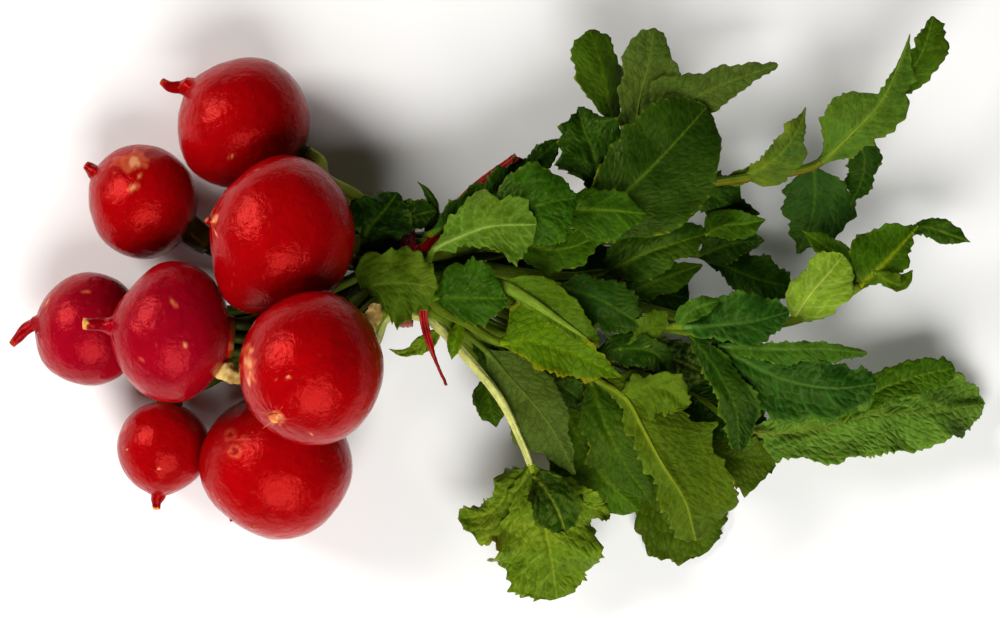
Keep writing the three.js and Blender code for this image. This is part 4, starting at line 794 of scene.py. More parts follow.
FRESH = dict(PLAIN, warm="#3a5208", face="#264306", back="#4a6612", vein="#42680a", rib="#5c7a16",
    edge="#4a6c0a", crinkle=0.28, net=3.6, tooth=(4.4, 1.3), show=0.45, skin=satin, slot="leaf_dark")
DEEP = dict(PLAIN, warm="#2c4006", face="#142e04", back="#34500c", vein="#284a06", rib="#3c5a0e",
    edge="#2a4a06", crinkle=0.3, net=3.4, tooth=(4.2, 1.6), show=0.4, skin=satin, slot="leaf_dark")
GLOSSY = dict(PLAIN, warm="#2c4a06", face="#1e3e06", back="#3c5810", vein="#346008", rib="#48680f",
    edge="#48680c", crinkle=0.55, net=3.2, tooth=(4.2, 1.5), show=0.4, ruffle=0.8, skin=shiny,
    slot="leaf_dark")
BLUE = dict(PLAIN, warm="#26480a", face="#173807", back="#406016", vein="#376420", rib="#4c7028",
    edge="#4a7420", crinkle=0.55, net=3.4, tooth=(3.4, 1.1), show=0.45, rim=0.35, skin=satin,
    slot="leaf_dark")
OLIVE = dict(PLAIN, face="#304c06", back="#4c6212", vein="#223c04", rib="#4c6410", edge="#4c5a0a",
    crinkle=0.28, net=3.8, tooth=(4.6, 1.4), show=0.5, skin=yellowed, slot="leaf_dark")
LIME = dict(PLAIN, face="#507006", back="#607812", vein="#2c4c02", rib="#64800c", edge="#8a7c08",
    crinkle=0.3, net=3.4, tooth=(4.4, 1.3), show=0.6, rim=0.5, skin=yellowed, slot="leaf_light")
BRIGHT = dict(PLAIN, face="#50741e", back="#5a7822", vein="#7c983e", rib="#6c7426", edge="#64802a",
    stout=0.4, crinkle=0.42, swell=2.3, net=3.1, tooth=(4.4, 1.4), show=0.4, ruffle=1.4, skin=curled,
    slot="leaf_dark")
CRUMPLED = dict(PLAIN, warm="#7a821c", face="#54700c", back="#6c8220", vein="#7c8e2a", rib="#849424",
    edge="#748a1c", crinkle=1.4, scorch="#5c4a14", scorch_from=1.3, net=3.2, tooth=(4.4, 1.7), show=0.5,
    ruffle=2.2, swell=2.4, skin=curled, slot="leaf_light")
PALE_BACK = dict(PLAIN, warm="#50660e", face="#3e580c", back="#4a6612", vein="#62802e", rib="#748e38",
    edge="#5a7420", crinkle=0.4, net=3.4, tooth=(5.0, 1.7), show=0.55, shade="#305410", skin=dull,
    slot="leaf_pale")
GREY_BACK = dict(PLAIN, face="#46581e", back="#34500a", vein="#2c440c", rib="#566a20", edge="#4e6218",
    crinkle=0.2, net=4.6, tooth=(5.0, 0.8), show=0.45, shade="#384e12", skin=grey, slot="leaf_pale")
OLIVE_BACK = dict(PLAIN, face="#3a5408", back="#2e4a04", vein="#506a14", rib="#627a20", edge="#506810",
    crinkle=0.25, net=3.8, tooth=(4.8, 1.4), show=0.45, shade="#243e04", skin=dull, slot="leaf_light")


# ---------------------------------------------------------------- leaves of radish 3
# The big radish at the top of the upper side. Its leaves lie on top there: one shows its pale
# underside by the tie, a broad glossy one lies next to it, and two lie further out to the right.
grow_leaf("leaf_3d", slot=(4, 8.75), look=PALE_BACK, way=[],
          pts=[[-19.5, 17.5, 36], [-12.5, 21, 40], [-3, 24.4, 43.2], [11.2, 25, 42.8]],
          wl=[2.2, 4.4, 8.8, 9.6, 8.2, 5.5], wr=[2.2, 2.8, 4.4, 7.2, 12, 9.5], under=True, cup=-0.015,
          wave=1.4, n=1.5, r1=0.9, stout=0.4, tooth=(5.4, 1.6), lobes=0.12)
grow_leaf("leaf_3i", slot=(10, 5.25), look=GLOSSY, way=[[-13, 21, 31]],
          pts=[[-2, 24, 35.5], [6.3, 28.5, 40], [14, 31.4, 42], [23, 33, 40]], wl=[2, 8, 13, 14, 9, 3],
          wr=[2, 7, 12.5, 15.5, 14, 6], cup=-0.02, wave=1.3, side=[
    dict(face=NIGHT, pts=[[-34, 19, 30], [-30.5, 26, 30.4], [-25, 28, 29.6], [-18.8, 29.4, 28.6]],
         wl=[1, 4, 4.6, 2], wr=[1, 3, 4, 1.6], wave=0.8),
    dict(face=NIGHT, pts=[[-41, 20, 33], [-38.8, 24, 35], [-35.5, 28, 34.6], [-30.3, 34.8, 31.5]],
         wl=[1.2, 7, 8, 6, 1.5], wr=[1.2, 7, 9, 8, 3], wave=1.8, cup=-0.02)])
grow_leaf("leaf_3n", slot=(6, 5.25), look=FRESH, way=[[-10, 17.5, 30.2], [5, 23, 31.2]],
          pts=[[17, 28.5, 33.5], [26, 29.5, 35.5], [35, 29.2, 36.5], [44, 28.3, 35.5]],
          wl=[1.5, 5, 6.5, 6.5, 4.5, 1.5], wr=[1.5, 6, 9, 9, 6, 1.5], cup=-0.015, wave=0.7,
          n=1.5, side=[
    dict(face=GRASS, pts=[[4, 21.5, 31], [13, 17.8, 33.5], [22, 18.5, 34.5], [31, 22.5, 34]],
         wl=[1.2, 5, 7.6, 6.4, 2], wr=[1.2, 6, 8, 6, 1.5], wave=0.9, n=1.5)])
grow_leaf("leaf_3m", slot=(8, 1.75), look=SMOOTH, way=[[-8, 19, 25.2], [10, 17, 25.2]],
          pts=[[23, 19, 26.8], [33.6, 30.6, 29.8], [45.8, 42.4, 31.4], [57, 54.4, 30],
               [62.4, 60.6, 27.5]], wl=[2, 6.5, 11.5, 14, 13, 6], wr=[2, 10, 17.5, 19, 15, 6],
          face="#1e3406", warm="#263e06", vein="#32520a", show=0.2, cup=-0.008, wave=1.1, n=1.5)


# ---------------------------------------------------------------- leaves of radish 1
# The uppermost radish in the view. Its long thin leaves fan out over the upper side, two of them to
# the top edge of the bunch, and one shows its grey-green underside.
grow_leaf("leaf_1h", slot=(12, 1.75), look=DEEP, way=[],
          pts=[[-20, 22.5, 33.2], [-11, 28, 35], [0, 35, 34], [11, 45, 30]], wl=[2, 4.6, 5.2, 5, 2],
          wr=[2, 6, 8, 8, 3], wave=0.8, n=1.5, fr=-10, side=[
    dict(pts=[[8, 41.8, 29], [13.5, 46.5, 28.8], [18, 51, 28]], wl=[1, 3, 1], wr=[1, 4, 1], wave=0.5),
    dict(pts=[[-18, 22.6, 24], [-19.3, 30, 26.5], [-21.6, 35.2, 27.5], [-24.6, 38.2, 27.5]],
         wl=[1, 2, 1.4, 0.7], wr=[1, 1.6, 1.1, 0.7], wave=0.5)])
grow_leaf("leaf_1j", slot=(10, -1.75), look=GLOSSY,
          way=[[-8, 22.5, 21.6], [8, 27.5, 21.6], [24, 31.5, 24]],
          pts=[[27.6, 34.2, 25.2], [29.6, 39.6, 26.8], [28.3, 47, 28], [25.3, 54, 28.4],
               [23.8, 60.6, 27]], wl=[3, 7, 8.6, 9, 6.5, 1], wr=[1.5, 5, 7, 8.5, 8.5, 4], face=NIGHT,
          edge="#3c6008", tooth=(6.4, 3), lobes=0.25, fl=10, fr=10, wave=2.2, n=2.5)
grow_leaf("leaf_1k", slot=(6, -1.75), look=SMOOTH,
          way=[[-8, 18.5, 21.6], [12, 26, 19.5], [27, 35, 19.4]],
          pts=[[35, 52.5, 21], [33.6, 61, 22], [31.2, 72, 22.5], [27.4, 84.2, 21]],
          wl=[1.4, 2.6, 6.6, 8.7, 8.2, 5], wr=[1.4, 3.4, 6, 7.2, 6.4, 4], face="#344c08", lobes=0.14,
          tooth=(5, 1), fl=8, fr=-34, wave=0.9, n=1)
grow_leaf("leaf_1l", slot=(8, -5.25), look=GREY_BACK,
          way=[[-6, 20.5, 17.2], [15, 28.5, 15.4], [32, 40, 15.8]],
          pts=[[39.9, 49, 22], [42.3, 62.5, 25], [45.3, 74.5, 26], [46.8, 84.5, 25]],
          wl=[1.5, 5, 6, 7.6, 7, 2.4], wr=[1.5, 6, 9, 10.6, 6, 2.4], under=True, n=1, stout=0.3,
          r1=0.9, side=[
    dict(pts=[[40.5, 52, 23], [54.3, 60.6, 26.4], [67.8, 67.6, 26.6], [84, 73.4, 25]],
         wl=[5, 9, 9.2, 5.8, 3.4, 1.6], wr=[4, 8, 7.6, 5.4, 3, 1.4], under=True, wave=0.8, n=1, r1=0.7,
         fr=-20, stout=0.3)])


# ---------------------------------------------------------------- leaves of radish 2
# From the far left of the upper side. One very long leaf with a red-streaked rib runs to the upper
# right corner with leaflets all along it, and two deep green ones lie low in the middle.
grow_leaf("leaf_2p", slot=(6, -8.75), look=OLIVE_BACK,
          way=[[-5, 19.5, 12], [20, 28, 12.5], [43, 34.5, 18], [60.3, 37.4, 23], [74, 39.3, 25],
               [89.4, 41.3, 25.6]],
          pts=[[96.6, 44, 26.5], [107.4, 54, 29], [115, 62.4, 30], [120, 73, 29.5], [123.5, 82.6, 28]],
          wl=[2, 8.5, 10, 2.2, 0.8, 0.6], wr=[2, 6, 8, 7, 4, 0.8], face="#42601a", stout=0.35,
          stripe="#5c2408", r1=1.35, under=True, fl=8, wave=0.7, n=1.5, side=[
    dict(face=GRASS, pts=[[116, 63.5, 28.4], [121.5, 69, 26], [126.5, 75.5, 26.5], [130.8, 88, 25]],
         wl=[1, 3, 3.5, 3, 1.6], wr=[1, 4, 6.5, 6.8, 2.5], wave=0.8, n=1.5),
    dict(face="#4c5a10",
         pts=[[73.2, 39.4, 25], [80, 42.8, 28], [86, 48, 29.5], [90.3, 55, 29], [92.2, 60.6, 27.5]],
         wl=[1, 3, 4, 3, 0.8], wr=[1, 6.5, 7, 2.6, 0.8], mottle=0.8, shade="#16401a", warm="#6c7a1c",
         wave=0.9, n=1.5),
    dict(look=DEEP, face="#1c3a10",
         pts=[[95, 42.4, 25.8], [95.4, 36, 21], [94.4, 27, 18.5], [90.3, 16.4, 16.5]],
         wl=[1, 10, 11, 8, 1.2], wr=[1, 9, 10, 5.5, 1.2], n=1.5),
    dict(look=DEEP, pts=[[106, 52.4, 28.4], [110, 46, 22.5], [109.6, 39, 20], [106, 31, 19]],
         wl=[1, 4.6, 4.4, 3, 1], wr=[1, 4, 5, 4, 1], wave=0.6),
    dict(look=FRESH, face=MOSS,
         pts=[[68, 38.4, 23.4], [72, 39.8, 24.2], [75.5, 41.6, 24.4], [77.8, 43.6, 24]],
         wl=[0.8, 1.8, 1.6, 0.7], wr=[1, 2.6, 3, 1], wave=0.4),
    dict(look=DEEP, pts=[[58, 37, 22.4], [65, 34, 19.4], [72, 30.4, 18], [79, 28.6, 17.4]],
         wl=[1, 6, 6, 3, 1], wr=[1, 5, 5, 4, 1], wave=0.6)])
grow_leaf("leaf_2s", slot=(4, -5.25), look=DEEP, way=[[-4, 16, 16.6], [20, 20, 13], [45, 20, 14]],
          pts=[[60.3, 16.4, 15.5], [69.3, 19.4, 17.5], [80.4, 20.6, 17.5]], wl=[1.4, 6, 5, 1.2],
          wr=[1.4, 6, 4, 1], wave=0.8, n=1.5, side=[
    dict(pts=[[60, 17.4, 15], [69, 12.6, 15.5], [78, 9, 16.5], [89, 6.4, 16]], wl=[0.8, 2.4, 7, 7, 3],
         wr=[0.8, 2, 6.5, 6, 3], wave=0.8, n=1.5)])
grow_leaf("leaf_2v", slot=(2, -8.75), look=DEEP, way=[[-14, 12, 11]],
          pts=[[-5, 13, 9], [8, 12.4, 7], [22, 10.6, 5.5], [40, 7, 3.4], [58, 3, 1]],
          wl=[5, 8, 10, 11, 11, 8], wr=[2, 8, 10, 11, 9, 7], wave=0.6, n=1.5, cup=-0.01)


# ---------------------------------------------------------------- leaves of radish 5
# The middle radish. Its leaves run straight along the bunch. Two of them are blue-green and finely
# toothed and lie on top of the right side, and an olive one hangs over the lower side.
# Leaf 5r's face is darker than its sort's: painted shade, as it lies low under the leaves above it.
grow_leaf("leaf_5r", slot=(4, 1.75), look=FRESH, way=[[-4, 12.5, 24.6], [15, 10, 22.5]],
          pts=[[30, 10.8, 21.5], [46, 17.4, 24], [56, 20.6, 24], [64.5, 23, 20]],
          wl=[1.6, 7, 9, 8, 5, 1.2], wr=[1.6, 6, 7, 6.5, 5, 1.2], face="#1d3606", show=0.25, cup=-0.02,
          wave=0.8, n=1.5, side=[
    dict(face=GRASS, pts=[[62, 22.4, 21.4], [68, 25, 21], [74, 25.6, 21.5], [80.4, 26.8, 21]],
         wl=[3.6, 5, 3.8, 1], wr=[1, 4, 4.6, 1], wave=0.6)])
grow_leaf("leaf_5t", slot=(2, -1.75), look=FRESH, way=[[-2, 10.6, 20.2], [20, 6.4, 17.4]],
          pts=[[36.9, 4.6, 18.4], [48.3, 8.6, 20], [61.4, 13.4, 19.5]], wl=[1.4, 3.6, 3.6, 1],
          wr=[1.4, 4.2, 4.4, 1.4], wave=0.6, n=1.5)
grow_leaf("leaf_5v", slot=(0, 1.75), look=BLUE, way=[[-5, 8.6, 25.6], [20, 2.6, 25.2], [42, -4, 27.6]],
          pts=[[55, -5.4, 31], [65, -5, 33.5], [75.3, -4, 34], [87, -1, 31.5]],
          wl=[1.5, 6.5, 7.6, 8.6, 6.5, 2.5], wr=[1.5, 3.6, 4.6, 7, 5.5, 2], cup=-0.01, side=[
    dict(face=GRASS, pts=[[53.5, -4.6, 31.4], [56.5, -1.4, 34], [60.5, 0.8, 35], [65.6, 2.2, 34.6]],
         wl=[0.8, 2.6, 3, 1.4], wr=[0.8, 2.4, 3, 1.6], wave=1.4, ruffle=1.6, crinkle=0.7)])
grow_leaf("leaf_5x", slot=(-4, 1.75), look=BLUE, way=[[-2, 2.6, 26], [22, -3.6, 25], [45, -5.8, 25]],
          pts=[[60.3, -8.2, 27], [71.5, -14.6, 28], [86, -21.5, 28], [101, -24, 27.5],
               [113.6, -22.6, 25]], wl=[1.6, 5, 7, 7.6, 7, 4], wr=[1.6, 7, 12, 12, 9, 4], fl=8, fr=-12,
          wave=0.8, side=[
    dict(look=DEEP,
         pts=[[57, -7.8, 26.2], [61.5, -13, 29.5], [66.5, -20.5, 31], [71, -30, 29.5],
              [72.4, -43, 25.5]], wl=[1.2, 5, 6.5, 6.5, 3], wr=[1.2, 3, 4, 5, 2.4], edge="#4c7018",
         rim=0.5, fl=-12, wave=0.9),
    dict(face=GRASS, pts=[[66, -11, 29], [82, -12.2, 32.5], [98, -12.2, 33], [110.4, -13.4, 31]],
         wl=[1, 1.8, 2, 2, 1.4], wr=[1, 4, 4.8, 4, 1.6], fr=-20, ruffle=1.6, wave=0.6, n=3)])
grow_leaf("leaf_5b", slot=(-2, -1.75), look=OLIVE, way=[[-5, 2, 21.2], [14, -9.5, 21.6]],
          pts=[[26.5, -20, 23.6], [31.2, -33, 25], [37, -45.5, 22], [46, -58.6, 15.5]],
          wl=[1.6, 7, 9, 8.5, 6, 1], wr=[1.6, 5.5, 7.5, 8.5, 5.5, 1], cup=-0.012, crinkle=0.55, net=4.6)


# ---------------------------------------------------------------- leaves of radish 4
# The leftmost radish. Its leaves are the longest, and make the right end of the bunch: a bright one
# with a yellow rib at the top, a crinkled one at the far right and a dark one below.
grow_leaf("leaf_4u", slot=(0, -5.25), look=FRESH,
          way=[[2, 8, 13.5], [35, 2.4, 14], [65, -4.6, 19], [87, -4, 23.5], [97, 0, 25]],
          pts=[[108, 6.6, 26], [115.2, 13, 27], [120.5, 18.6, 26.5], [126.3, 25, 24.5]],
          wl=[1.6, 11, 11.5, 9.5, 6, 1.6], wr=[1.6, 3, 5.5, 4.5, 2, 0.8], face=GRASS, rib="#8c9a10",
          r1=1.5, wave=0.9, n=1.5, side=[
    dict(face=FOREST, pts=[[124, 22.6, 25.4], [128, 24.6, 22.5], [134, 23, 21.5], [142.4, 20, 19.5]],
         wl=[0.8, 3, 3.4, 0.7], wr=[0.8, 3, 3.2, 0.7], wave=0.5),
    dict(look=PALE_BACK, face="#64801a",
         pts=[[88.5, -3.6, 23.8], [93.9, 4.6, 28.5], [99.3, 11, 30], [103.4, 16, 29]],
         wl=[2, 6.6, 6.8, 7.4], wr=[3, 8.4, 9.4, 9.4], vein="#8a9e40", warm="#6c8418", rib="#8ea03c",
         under=True, r1=0.8, stout=0.5, wave=1.2, n=1.5, fl=-14, fr=8, tooth=(6, 1), lobes=0.16),
    dict(face=GRASS, pts=[[107, 5.8, 25.8], [104.5, 14, 24.5], [98, 19, 24], [91.2, 23.6, 23]],
         wl=[0.8, 3, 3.4, 0.8], wr=[0.8, 3.4, 3.4, 0.8], wave=0.5),
    dict(face=MOSS, pts=[[113, 11, 27.4], [116.6, 8.4, 29.4], [121, 7.2, 28.6], [124.4, 11.6, 27]],
         wl=[1, 3, 3.6, 1], wr=[1, 2, 1.6, 0.8], wave=1.2)])
grow_leaf("leaf_4w", slot=(-4, -5.25), look=BRIGHT, way=[[-2, 0, 12.5], [30, -14, 9.5], [62, -28, 11]],
          pts=[[74.4, -36.6, 13.4], [94, -37, 14.5], [111.3, -32.4, 14.5], [126.3, -31.7, 12.5],
               [147.6, -29.2, 7]], wl=[3, 7, 8.5, 9.5, 11, 8.5], wr=[3, 9, 12.5, 10.5, 9.5, 7.5],
          wave=1.8, n=3.5, side=[
    dict(look=DEEP, pts=[[46, -21.4, 9.6], [58, -27, 11.6], [69, -32, 11.4], [81, -36, 10]],
         wl=[1.5, 6, 8, 6], wr=[1.5, 6, 9, 7], wave=0.7),
    dict(face=NIGHT, pts=[[43, -19.6, 9.8], [50, -15, 13], [57, -17, 14], [66, -22, 12]],
         wl=[1, 6, 7, 4, 1], wr=[1, 9, 10, 8, 1], wave=0.6),
    dict(look=FRESH, face=GRASS,
         pts=[[104, -34.5, 14.5], [111, -26.8, 16], [123.6, -21.2, 16.4], [138, -18, 15]],
         wl=[1.2, 4.6, 5, 4.6, 3], wr=[1.2, 4.4, 5, 5.4, 3.4], wave=0.4, lobes=0.06)])
grow_leaf("leaf_4e", slot=(-2, -8.75), look=OLIVE, way=[[-5, 1, 9], [14, -14, 5.5], [34, -34, 4.5]],
          pts=[[46.8, -49, 5], [53.4, -61, 4], [64, -74, 1.2]], wl=[2, 9, 12.5, 14, 11],
          wr=[2, 8, 12, 13, 9], face=MOSS, wave=0.5, n=1.5, tooth=(5, 1.8), lobes=0.22)


# ---------------------------------------------------------------- leaves of radish 6
# The topmost radish. Its leaves lie on top of all others round the tie, one with a thick pale rib
# on its underside, and a lime one with a yellowed edge.
grow_leaf("leaf_6f", slot=(0, 8.75), look=OLIVE_BACK, way=[[-12, 9.4, 34]],
          pts=[[0, 7.4, 37.5], [9.3, 2.5, 40], [18.3, -3.5, 39.5], [30, -11.6, 35]],
          wl=[1.6, 7.5, 8.6, 5.5, 2], wr=[1.6, 2, 2.6, 2.4, 1.8], r1=1.7, stout=1.25, under=True, fl=6,
          wave=0.9, n=1.5, tooth=(6, 0.5), lobes=0.1, side=[
    dict(face="#40540a", pts=[[-43.6, 4.4, 42], [-37, 7, 42.4], [-28.2, 7.6, 41.6], [-18.6, 6.2, 40]],
         wl=[5, 9, 10.4, 11.5, 10], wr=[4, 9, 11, 12.4, 11], crinkle=0.5, stout=0.4, wave=2.4, n=3,
         cup=-0.012, tooth=(5.6, 2.8), swell=2, warm="#5a6816", mottle=0.6, lobes=0.2)])
grow_leaf("leaf_6g", slot=(-6, 5.25), look=LIME, way=[[-17, -0.6, 30.2], [-9, -4.8, 32]],
          pts=[[0, -10, 34.5], [9.5, -9.6, 36.4], [21.3, -13.2, 36.4], [37, -20.4, 34]],
          wl=[3, 11.5, 12, 6.4, 3, 1], wr=[1.6, 5, 8, 7, 4.6, 1], r1=1.4, side=[
    dict(pts=[[-12, -3.4, 31.6], [-13.2, -9.6, 33], [-14.2, -15.4, 31.5]], wl=[1, 2.6, 0.7],
         wr=[1, 2.2, 0.7], wave=0.3)])
grow_leaf("leaf_6q", slot=(-2, 5.25), look=DEEP, way=[[-10, 6, 28.8], [8, 1, 29.6], [20, -6, 29.5]],
          pts=[[29, -12.5, 30], [39.3, -12, 31], [46.8, -13.4, 30.5], [52.6, -20.4, 28]],
          wl=[1.4, 4.6, 5, 4, 1], wr=[1.4, 4.6, 5, 4.6, 1], wave=0.8, side=[
    dict(face=MOSS, pts=[[36, -12, 30.6], [41, -9, 31], [45.6, -5, 31.2], [50.4, -0.8, 31]],
         wl=[0.8, 3.4, 4, 1.4], wr=[0.8, 4.6, 5, 1.6])])
grow_leaf("leaf_6e", slot=(-4, 8.75), look=GLOSSY, way=[],
          pts=[[-19.4, 3.6, 36.4], [-12, 3.2, 40], [-5, 3, 41.5], [2.6, 3, 40.5]],
          wl=[1.6, 8, 10, 10.5, 8, 2], wr=[1.6, 4, 6.5, 7.5, 6, 2], r1=1.5, wave=0.9)
grow_leaf("leaf_6c", slot=(2, 5.25), look=DEEP, way=[[-12, 10.8, 29.6], [4, 9, 29.8]],
          pts=[[18.3, 6.6, 31], [30.3, 2.6, 32.6], [43, -5, 31]], wl=[1.5, 5.5, 6.5, 6, 1.6],
          wr=[1.5, 5, 7, 7, 1.6], wave=0.7, n=1.5, cup=-0.015, show=0.15, crinkle=0.14, face="#17330a")


# ---------------------------------------------------------------- leaves of radish 8
# The lowest big radish. Its leaves hang over the lower side of the bunch: a broad one with its back
# up, a grey one, and a crumpled yellow-green one on a long pale stalk.
grow_leaf("leaf_8a", slot=(-8, 1.75), look=OLIVE_BACK,
          way=[[-9, -3.6, 27.4], [8, -10.4, 29.4], [20, -16, 30.5]],
          pts=[[29, -21, 29.8], [38, -27, 32], [43, -35.6, 33.4], [48.6, -46, 33], [55.8, -57.5, 28],
               [59.4, -70, 21]], wl=[2, 10, 17, 20.5, 18, 6], wr=[1.6, 3, 4.4, 5.4, 6.8, 3],
          face="#405208", rib="#6a7a18", under=True, fl=-15, wave=1.6, n=2.5, tooth=(6, 2),
          lobes=0.2, side=[
    dict(look=OLIVE, face="#4c620e",
         pts=[[36, -26, 32.6], [43, -23.4, 34.6], [50, -24, 35.2], [56.6, -29.4, 34]],
         wl=[1, 4, 4.6, 3], wr=[1, 7, 9, 5], mottle=0.25, tooth=(5, 2.4), lobes=0.25)])
grow_leaf("leaf_8c", slot=(-10, 5.25), look=GREY_BACK, way=[[-14, -4.8, 28.6]],
          pts=[[-4, -12.6, 28.4], [4, -21.5, 29], [10.8, -29, 28.6], [17.2, -38, 27], [23, -50, 23]],
          wl=[3, 8, 8.4, 6.4, 3, 1], wr=[3, 8.4, 10.4, 11, 6.6, 1.4], under=True, wave=1.2, r1=0.9,
          cup=-0.015, stout=0.5, crinkle=0.36)
grow_leaf("leaf_8n", slot=(-10, -1.75), look=DEEP, way=[[-13, -5, 21.6]],
          pts=[[2, -12, 22.5], [14, -20, 22.6], [27, -29, 19.5]], wl=[1.4, 6, 6.5, 1],
          wr=[1.4, 7, 7.5, 1], wave=0.7, n=1.5, side=[
    dict(face=FOREST, pts=[[-8.4, -8.4, 21.6], [-2, -15, 21], [5, -24.6, 20], [10.4, -34, 18]],
         wl=[2, 5, 6, 4], wr=[2, 5, 6, 4], wave=0.7)])
grow_leaf("leaf_8g", slot=(-12, 1.75), look=CRUMPLED,
          way=[[-17.6, -6, 27], [-11.2, -12.8, 29], [0.2, -27, 30.6], [6.2, -39, 28]],
          pts=[[9.2, -46.5, 25.2], [12.6, -60.5, 24], [15.6, -74, 20], [17.6, -88, 12]],
          wl=[2.5, 11, 14, 14, 11, 8], wr=[2.5, 8, 12, 15, 13, 9], stalk="#c4c670", tooth=(5, 2.4),
          r1=1.1, wave=3, n=3.5, lobes=0.22, side=[
    dict(face=YOUNG, pts=[[9.6, -47.5, 24.6], [4.6, -53, 22], [-3, -61.6, 19.5], [-12.4, -63.6, 18.5]],
         wl=[1, 7, 8, 3.4], wr=[1, 4.5, 3.6, 2.6], wave=2, lobes=0.25),
    dict(pts=[[11.8, -55, 24.2], [20, -56.6, 25.5], [27, -59.6, 25], [33.4, -62, 23]],
         wl=[1, 5, 4.4, 2], wr=[1, 4.4, 4, 2], wave=1.2),
    dict(face=FOREST, pts=[[10.4, -50, 24.6], [14, -54.5, 28.5], [17.4, -60, 30], [20, -67, 28.5]],
         wl=[1, 6.5, 7.4, 4], wr=[1, 6.5, 7.4, 4], crinkle=1.6, show=0.2, scorch_from=2, warm="#2c4a06",
         cup=0.08),
    dict(pts=[[-17.5, -6.2, 27], [-22.4, -10.4, 25], [-29, -13.2, 24], [-33.2, -12.2, 24]],
         wl=[1, 3, 1.4, 0.7], wr=[1, 2.6, 1.2, 0.7], wave=0.4)])


# ---------------------------------------------------------------- leaves of radish 7
# The small radish at the lower left. Its leaves lie lowest on the lower side, and two are olive.
grow_leaf("leaf_7d", slot=(-8, -5.25), look=FRESH, way=[[-12, -7, 17.5], [6, -20.6, 16.5]],
          pts=[[18.3, -29, 16.5], [24.5, -40, 17], [32, -51.6, 15], [42.4, -61.4, 10.5]],
          wl=[1.6, 7, 8, 8, 6.5, 2.4], wr=[3, 10, 11.4, 11, 8, 3], face="#3a580a", wave=0.9, lobes=0.1,
          tooth=(6, 0.6))
grow_leaf("leaf_7f", slot=(-6, -1.75), look=OLIVE,
          way=[[-7, -2.6, 19.4], [20, -17, 13.8], [45, -31, 11.5]],
          pts=[[60, -39.6, 11.5], [68, -43.6, 12.6], [76, -45.6, 12.4], [84, -47.6, 10.4]],
          wl=[1.6, 5.5, 6.4, 6, 2], wr=[1.6, 8, 10, 8, 2.4], face=MOSS, scorch="#5a3c08",
          scorch_from=1.2, tooth=(6, 2.6), lobes=0.3)
grow_leaf("leaf_7h", slot=(-6, -8.75), look=OLIVE, way=[[-17, -4, 12], [-8, -13, 12]],
          pts=[[-3.4, -20, 14], [-3, -28, 15.5], [-0.8, -36, 15]], wl=[1.2, 5, 4.6, 1],
          wr=[1.2, 4.2, 4, 1], wave=0.6, n=1.5)


# ---------------------------------------------------------------- twist tie
# A strip of red plastic-coated paper about 3 mm wide with a thin steel wire sealed along its middle.
# It goes twice round the stalks, its ends are twisted together on top, and what is left lies loose.
ACROSS = 13     # points across each face of the strip


def film(points, widths, ups, twist=0.0):
    """A flat strip along a rail: at each length a section that is width wide, 0.3 mm thick at its
    edges and round over the wire in its middle. ups give the way its face looks, and twist turns
    it that many times about its own line. Its edges wander a little, as creased film does."""
    track = rail(points, 40)
    s = np.linspace(0, track[1][-1], int(track[1][-1] / 0.45))
    t = s / s[-1]
    P, T = at_length(track, s)
    up = np.stack([along([u[k] for u in ups], t) for k in range(3)], -1)
    N = unit(up - (up * T).sum(-1, keepdims=True) * T)
    S = np.cross(N, T)
    a = (2 * np.pi * twist * t)[:, None]
    N, S = N * np.cos(a) + S * np.sin(a), S * np.cos(a) - N * np.sin(a)
    x = np.r_[np.linspace(1, -1, ACROSS), np.linspace(-1, 1, ACROSS)]
    w = along(widths, t)[:, None] / 2 * x
    thick = 0.15 + 0.3 * np.exp(-(w / 0.42) ** 2)
    crease = 0.16 * lumps(np.stack([s, 0 * s, 0 * s], -1), 2.6, 31)[:, None] * np.abs(x) ** 2
    crease = crease + 0.05 * np.sin(s[:, None] * 2.4) * np.abs(x) ** 3
    h = np.r_[np.ones(ACROSS), -np.ones(ACROSS)] * thick + crease
    rings = P[:, None] + S[:, None] * w[..., None] + N[:, None] * h[..., None]
    tone = 0.5 + 0.5 * lumps(rings, 3, 32)
    return rings, blend(linear("#560204"), linear("#8e0206"), tone), (0.0, 0.0)


def red_film():
    """Plastic-coated paper: coloured right through, smooth and glossy, with fine creases about
    1 mm apart that catch the light."""
    material, tree, surface, place = new_material("twist tie film, glossy red")
    worn = add_node(tree, "ShaderNodeTexNoise", Vector=place, Scale=900.0, Detail=3.0)
    level = add_node(tree, "ShaderNodeMapRange", Value=worn.outputs["Fac"], From_Min=0.3, From_Max=0.7,
                     To_Min=0.82, To_Max=1.12)
    paint(tree, surface, level.outputs["Result"])
    rough = add_node(tree, "ShaderNodeMapRange", Value=worn.outputs["Fac"], From_Min=0.3, From_Max=0.7,
                     To_Min=0.22, To_Max=0.42)
    tree.links.new(rough.outputs["Result"], surface.inputs["Roughness"])
    bump = add_node(tree, "ShaderNodeBump", Height=worn.outputs["Fac"], Strength=0.35, Distance=0.0003)
    tree.links.new(bump.outputs["Normal"], surface.inputs["Normal"])
    surface.inputs["IOR"].default_value = 1.5
    surface.inputs["Specular IOR Level"].default_value = 0.3
    surface.inputs["Specular Tint"].default_value = (*linear("#ff9080"), 1)
    return material


# two turns round the stalks as one helix, from the knot's place on the shoulder and back to it
HALF_WIDE, HALF_HIGH = 14.95, 12.65     # mm, of a turn round the stalks
a = np.radians(61.5) + np.linspace(0, 4 * np.pi, 49)
helix = np.c_[np.linspace(-29.3, -26.5, 49), TIE[1] + HALF_WIDE * np.cos(a),
              TIE[2] + HALF_HIGH * np.sin(a)]
facing = np.c_[0 * a, np.cos(a), np.sin(a)]
